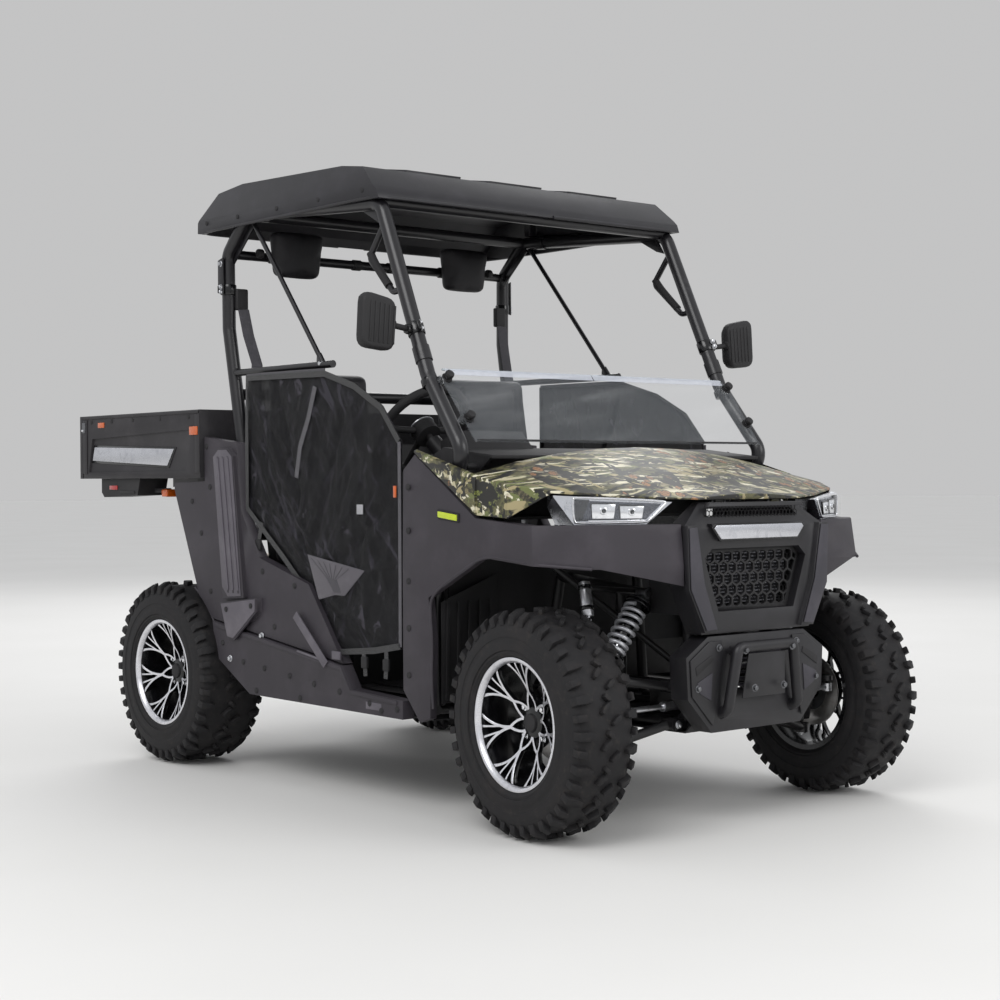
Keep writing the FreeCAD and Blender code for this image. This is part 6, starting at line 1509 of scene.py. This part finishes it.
def make_seats():
    """Two bucket seats and two headrests, padded, with sewn channels."""
    bases = []
    backs = []
    for side, label in ((-1.0, "right"), (1.0, "left")):
        x0, x1 = side * SEAT_X - 226.0, side * SEAT_X + 226.0
        base = cushion_form("seat_cushion_" + label, [
            (x0, 935, 736), (x1, 935, 736), (x1, 1396, 724), (x0, 1396, 724),
            (x0, 922, 822), (x1, 922, 822), (x1, 1396, 800), (x0, 1396, 800)])
        puffed(base, 0.009, 0.012)
        up = Vector((0.0, 0.0, 1.0))
        groove(base, [(at(side * SEAT_X + x, 960, 838), at(side * SEAT_X + x, 1360, 818), up)
                      for x in (-150.0, -50.0, 50.0, 150.0)], 0.010, 0.012)
        bases.append(base)
        back = cushion_form("seat_back_" + label, [
            (x0 + 4, 1336, 846), (x1 - 4, 1336, 846), (x1 - 4, 1430, 838), (x0 + 4, 1430, 838),
            (x0 + 34, 1394, 1378), (x1 - 34, 1394, 1378), (x1 - 34, 1474, 1384), (x0 + 34, 1474, 1384)])
        puffed(back, 0.009, 0.012)
        forward = Vector((0.0, -1.0, 0.1)).normalized()
        groove(back, [(at(side * SEAT_X + x, 1332, 880), at(side * SEAT_X + x * 0.9, 1386, 1330), forward)
                      for x in (-140.0, 140.0)], 0.012, 0.014)
        groove(back,
               [(at(side * SEAT_X - 140, 1340 + z * 0.1, z + 900),
                 at(side * SEAT_X + 140, 1340 + z * 0.1, z + 900), forward) for z in (60.0, 170.0, 280.0)],
               0.009, 0.012)
        backs.append(back)
    for base, back in zip(bases, backs):
        for piece in (base, back):
            seat(piece, "chassis")
    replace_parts(bases[0], "seats")
    heads = []
    for side, label in ((-1.0, "right"), (1.0, "left")):
        x0, x1 = side * HEADREST_X - 112.0, side * HEADREST_X + 112.0
        head = cushion_form("headrest_pad_" + label, [
            (x0 + 26, 1514, 1712), (x1 - 26, 1514, 1712), (x1 - 22, 1572, 1712), (x0 + 22, 1572, 1712),
            (x0 + 6, 1506, 1868), (x1 - 6, 1506, 1868), (x1 - 8, 1572, 1868), (x0 + 8, 1572, 1868)])
        puffed(head, 0.007, 0.010)
        seat(head, "chassis")
        heads.append(head)
    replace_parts(heads[0], "headrests")


NET_FRONT, NET_REAR = 566.0, 1425.0
NET_COLUMNS, NET_ROWS = 120, 110


def make_nets():
    """Door nets hung under the hip rails: one wrinkled sheet each, with a strap, hem and buckles."""
    top_line = [(566, 1120), (660, 1228), (800, 1300), (960, 1346), (1425, 1352)]
    low_line = [(566, 492), (700, 470), (902, 452), (1045, 620), (1200, 742), (1425, 905)]

    def height(line, y):
        for (y0, z0), (y1, z1) in zip(line, line[1:]):
            if y <= y1:
                return z0 + (z1 - z0) * (y - y0) / (y1 - y0)
        return line[-1][1]

    pulls = (((1400, 1320), (1060, 800), 7.0, 16.0), ((1240, 1340), (1080, 820), -6.0, 18.0),
             ((1000, 1330), (1120, 800), 6.0, 15.0), ((820, 1290), (1040, 760), -5.0, 20.0),
             ((640, 1180), (980, 740), 7.0, 18.0), ((575, 960), (960, 700), -6.0, 17.0),
             ((575, 760), (960, 660), 6.0, 14.0), ((1415, 1130), (1120, 790), 6.0, 15.0),
             ((1415, 960), (1160, 780), -5.0, 13.0), ((640, 520), (980, 640), 6.0, 16.0),
             ((760, 480), (1000, 630), -5.0, 13.0), ((700, 1230), (760, 560), 5.0, 22.0),
             ((1330, 1340), (1300, 900), -5.0, 20.0), ((900, 1310), (620, 900), 5.0, 24.0))
    sheets = []
    for side, label in ((-1.0, "right"), (1.0, "left")):
        bpy.ops.mesh.primitive_grid_add(x_subdivisions=NET_COLUMNS, y_subdivisions=NET_ROWS)
        sheet = named("door_net_" + label, NET)
        for index, vertex in enumerate(sheet.data.vertices):
            u = (index % (NET_COLUMNS + 1)) / NET_COLUMNS
            v = (index // (NET_COLUMNS + 1)) / NET_ROWS
            y = NET_FRONT + (NET_REAR - NET_FRONT) * u
            low, high = height(low_line, y), height(top_line, y)
            z = low + (high - low) * v
            swell = 2.0
            for (y0, z0), (y1, z1), high_fold, wide in pulls:
                along = Vector((y1 - y0, z1 - z0))
                place = Vector((y - y0, z - z0))
                share = min(1.0, max(0.0, place.dot(along) / along.length_squared))
                wander = 16.0 * noise.noise(Vector((share * 4.0, y0 * 0.01, side)))
                beside = place - along * share
                gap = abs(beside.dot(Vector((-along.y, along.x)).normalized()) - wander)
                past = beside.length
                crest = 1.5 * high_fold * math.exp(-(gap / wide) ** 2)
                fade = math.exp(-max(0.0, past - gap - 20.0) / 30.0)
                swell += crest * fade * (0.35 + 0.65 * math.sin(math.pi * (0.12 + 0.76 * share)))
            broad = noise.noise(Vector((y * 0.006, z * 0.0045, 9.0 * side)))
            crumple = 1.0 - 2.2 * abs(noise.noise(Vector((y * 0.011, z * 0.009, 4.0 + side))))
            small = 1.0 - 2.2 * abs(noise.noise(Vector((y * 0.027 + z * 0.01, z * 0.02, 7.0 - side))))
            edge = min(1.0, 7.0 * min(u, 1.0 - u), 7.0 * min(v, 1.0 - v))
            swell += 6.0 * broad + 5.0 * crumple + 2.0 * small
            swell = max(-14.0, min(11.0, swell))
            vertex.co = at(side * (655.0 + edge * (swell + 3.0)), y, z)
        run_modifier(sheet, "SOLIDIFY", thickness=0.0012, offset=0.0)
        outward(sheet)
        pick(sheet)
        bpy.ops.object.shade_smooth()
        seat(sheet, "chassis")
        sheets.append(sheet)
        out = (side, 0.0, 0.0)
        x = side * 664.0
        hem = tape("net_hem_" + label, [(x, 569, 498), (x, 568, 700), (x, 568, 900), (x, 569, 1116)], 15.0,
                   2.0, out, PIPING)
        strap = tape("net_strap_" + label, [(x + side * 6, 1004, 1300), (x + side * 8, 1040, 1200),
                                            (x + side * 7, 1090, 1110), (x + side * 3, 1118, 1010)], 22.0,
                     2.0, out, STRAP)
        top = tape("net_top_" + label, [(x - side * 4, 962, 1350), (x - side * 4, 1120, 1352),
                                        (x - side * 4, 1280, 1353), (x - side * 4, 1424, 1353)], 14.0, 2.0,
                   out, STRAP)
        around = tape("net_edge_" + label, [(x, 572, 1118), (x, 662, 1222), (x, 802, 1294), (x, 962, 1340),
                                            (x, 1418, 1346), (x, 1420, 1120), (x, 1419, 908),
                                            (x, 1200, 748), (x, 1046, 628), (x, 903, 460), (x, 702, 478),
                                            (x, 570, 500)], 20.0, 2.0, out, EDGING)
        bits = [hem, strap, top, around]
        for line in ([(1330, 862), (1352, 790), (1366, 700)], [(1130, 700), (1146, 640), (1150, 590)],
                     [(905, 462), (884, 440), (876, 418)], [(640, 486), (640, 440), (644, 396)],
                     [(760, 476), (752, 440), (748, 396)]):
            points = [(x, y, z) for y, z in line]
            bits.append(tape("net_leg", points, 20.0, 2.2, out, EDGING))
            y, z = line[1]
            bits.append(block("buckle", (x - 5, y - 15, z - 20), (x + 5, y + 15, z + 16), DEEP_BLACK, 0.003))
        flap = [(1052, 764), (740, 722), (800, 676), (846, 640), (900, 640), (989, 622)]
        bits.append(side_plate("net_flap", x + side * 6, flap, side * 1.6, FLAP, 0.0006))
        for k in range(7):
            y0 = 1030.0 - 34.0 * k
            bits.append(tape("flap_fold", [(x + side * 8.4, y0, 752 - 4.6 * k),
                                           (x + side * 8.6, 940 - 8 * k, 690),
                                           (x + side * 8.2, 905 - 6 * k, 648)], 3.5, 1.4, out, PIPING))
        bits += [block("net_tag", (x + side * 9 - 1.2, 744, 896), (x + side * 9 + 1.2, 776, 926), WASH_TAG,
                       0.0006),
                 block("edge_reflector", (x + side * 9 - 2, 573, 948), (x + side * 9 + 2, 587, 984), AMBER,
                       0.0015)]
        seat(joined("net_tapes_" + label, bits), "chassis")
    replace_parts(sheets[0], "side_nets")


# Studio

CAMERA_TURN = (40.155, 0.685, -0.340)
CAMERA_PLACE = (-3.9325, -4.8966, 1.0040)
CAMERA_LENS = 64.96


def make_camera():
    """The camera solved from the photograph."""
    yaw, pitch, roll = (math.radians(angle) for angle in CAMERA_TURN)
    ahead = Vector((math.sin(yaw) * math.cos(pitch), math.cos(yaw) * math.cos(pitch), -math.sin(pitch)))
    level = Vector((math.cos(yaw), -math.sin(yaw), 0.0))
    upright = level.cross(ahead)
    right = math.cos(roll) * level + math.sin(roll) * upright
    up = math.cos(roll) * upright - math.sin(roll) * level
    place = Matrix((right, up, -ahead)).transposed().to_4x4()
    place.translation = CAMERA_PLACE
    data = bpy.data.cameras.new("camera")
    data.lens = CAMERA_LENS
    data.sensor_width = 36.0
    data.sensor_fit = "HORIZONTAL"
    camera = bpy.data.objects.new("camera", data)
    bpy.context.scene.collection.objects.link(camera)
    camera.matrix_world = place
    bpy.context.scene.camera = camera


def soft_lamp(name, place, aim, size, power):
    data = bpy.data.lights.new(name, "AREA")
    data.shape = "RECTANGLE"
    data.size, data.size_y = size
    data.energy = power
    lamp = bpy.data.objects.new(name, data)
    bpy.context.scene.collection.objects.link(lamp)
    lamp.location = place
    lamp.rotation_euler = (Vector(aim) - Vector(place)).to_track_quat("-Z", "Y").to_euler()


def make_studio():
    scene = bpy.context.scene
    scene.view_settings.view_transform = "Standard"
    world = bpy.data.worlds.new("studio")
    world.use_nodes = True
    scene.world = world
    nodes = world.node_tree.nodes
    sky = nodes["Background"]
    sky.inputs[0].default_value = (0.90, 0.91, 0.93, 1.0)
    sky.inputs[1].default_value = 0.78
    seen = nodes.new("ShaderNodeBackground")
    seen.inputs[0].default_value = (0.55, 0.55, 0.552, 1.0)
    seen.inputs[1].default_value = 1.0
    ray = nodes.new("ShaderNodeLightPath")
    pick_one = nodes.new("ShaderNodeMixShader")
    world.node_tree.links.new(ray.outputs["Is Camera Ray"], pick_one.inputs[0])
    world.node_tree.links.new(sky.outputs[0], pick_one.inputs[1])
    world.node_tree.links.new(seen.outputs[0], pick_one.inputs[2])
    world.node_tree.links.new(pick_one.outputs[0], nodes["World Output"].inputs[0])
    bpy.ops.mesh.primitive_circle_add(vertices=96, radius=90.0, fill_type="NGON")
    floor = named("studio_floor", floor_paint())
    soft_lamp("key_lamp", (-7.0, -3.6, 7.4), (0.0, 0.0, 0.8), (6.0, 4.5), 430.0)
    soft_lamp("nose_lamp", (2.6, -8.4, 4.6), (0.0, -0.6, 0.7), (5.0, 3.0), 200.0)
    soft_lamp("rear_lamp", (5.4, 6.6, 6.6), (0.0, 0.6, 0.9), (6.0, 4.5), 280.0)


def dress_nodes():
    for node, finish in NODE_FINISH.items():
        for holder in NODES[node].material_slots:
            holder.material = finish


ROUNDED = (("front_fenders", CHARCOAL, 0.003, "grip_plastic"), ("rockers", CHARCOAL, 0.003, "grip_plastic"),
           ("rear_side_panels", CHARCOAL, 0.003, "grip_plastic"), ("fascia", NOSE_BLACK, 0.003,
                                                                   "black_plastic"),
           ("bumper", NOSE_BLACK, 0.004, "black_plastic"), ("hood", CAMOUFLAGE, 0.003, "hood_plastic"),
           ("roof", ROOF_BLACK, 0.004, "roof_plastic"), ("grille", DEEP_BLACK, 0.001, "black_plastic"),
           ("cargo_bed", BED_BLACK, 0.003, "grip_plastic"), ("tailgate", BED_BLACK, 0.003, "grip_plastic"),
           ("dashboard", DEEP_BLACK, 0.003, "black_plastic"))


dress_nodes()
make_camera()
make_studio()
make_wheels()
for look in ROUNDED:
    dressed(*look)
make_nose()
make_suspension()
make_sides()
make_cage()
make_cab()
make_bed()
make_seats()
make_nets()

clear_selection()
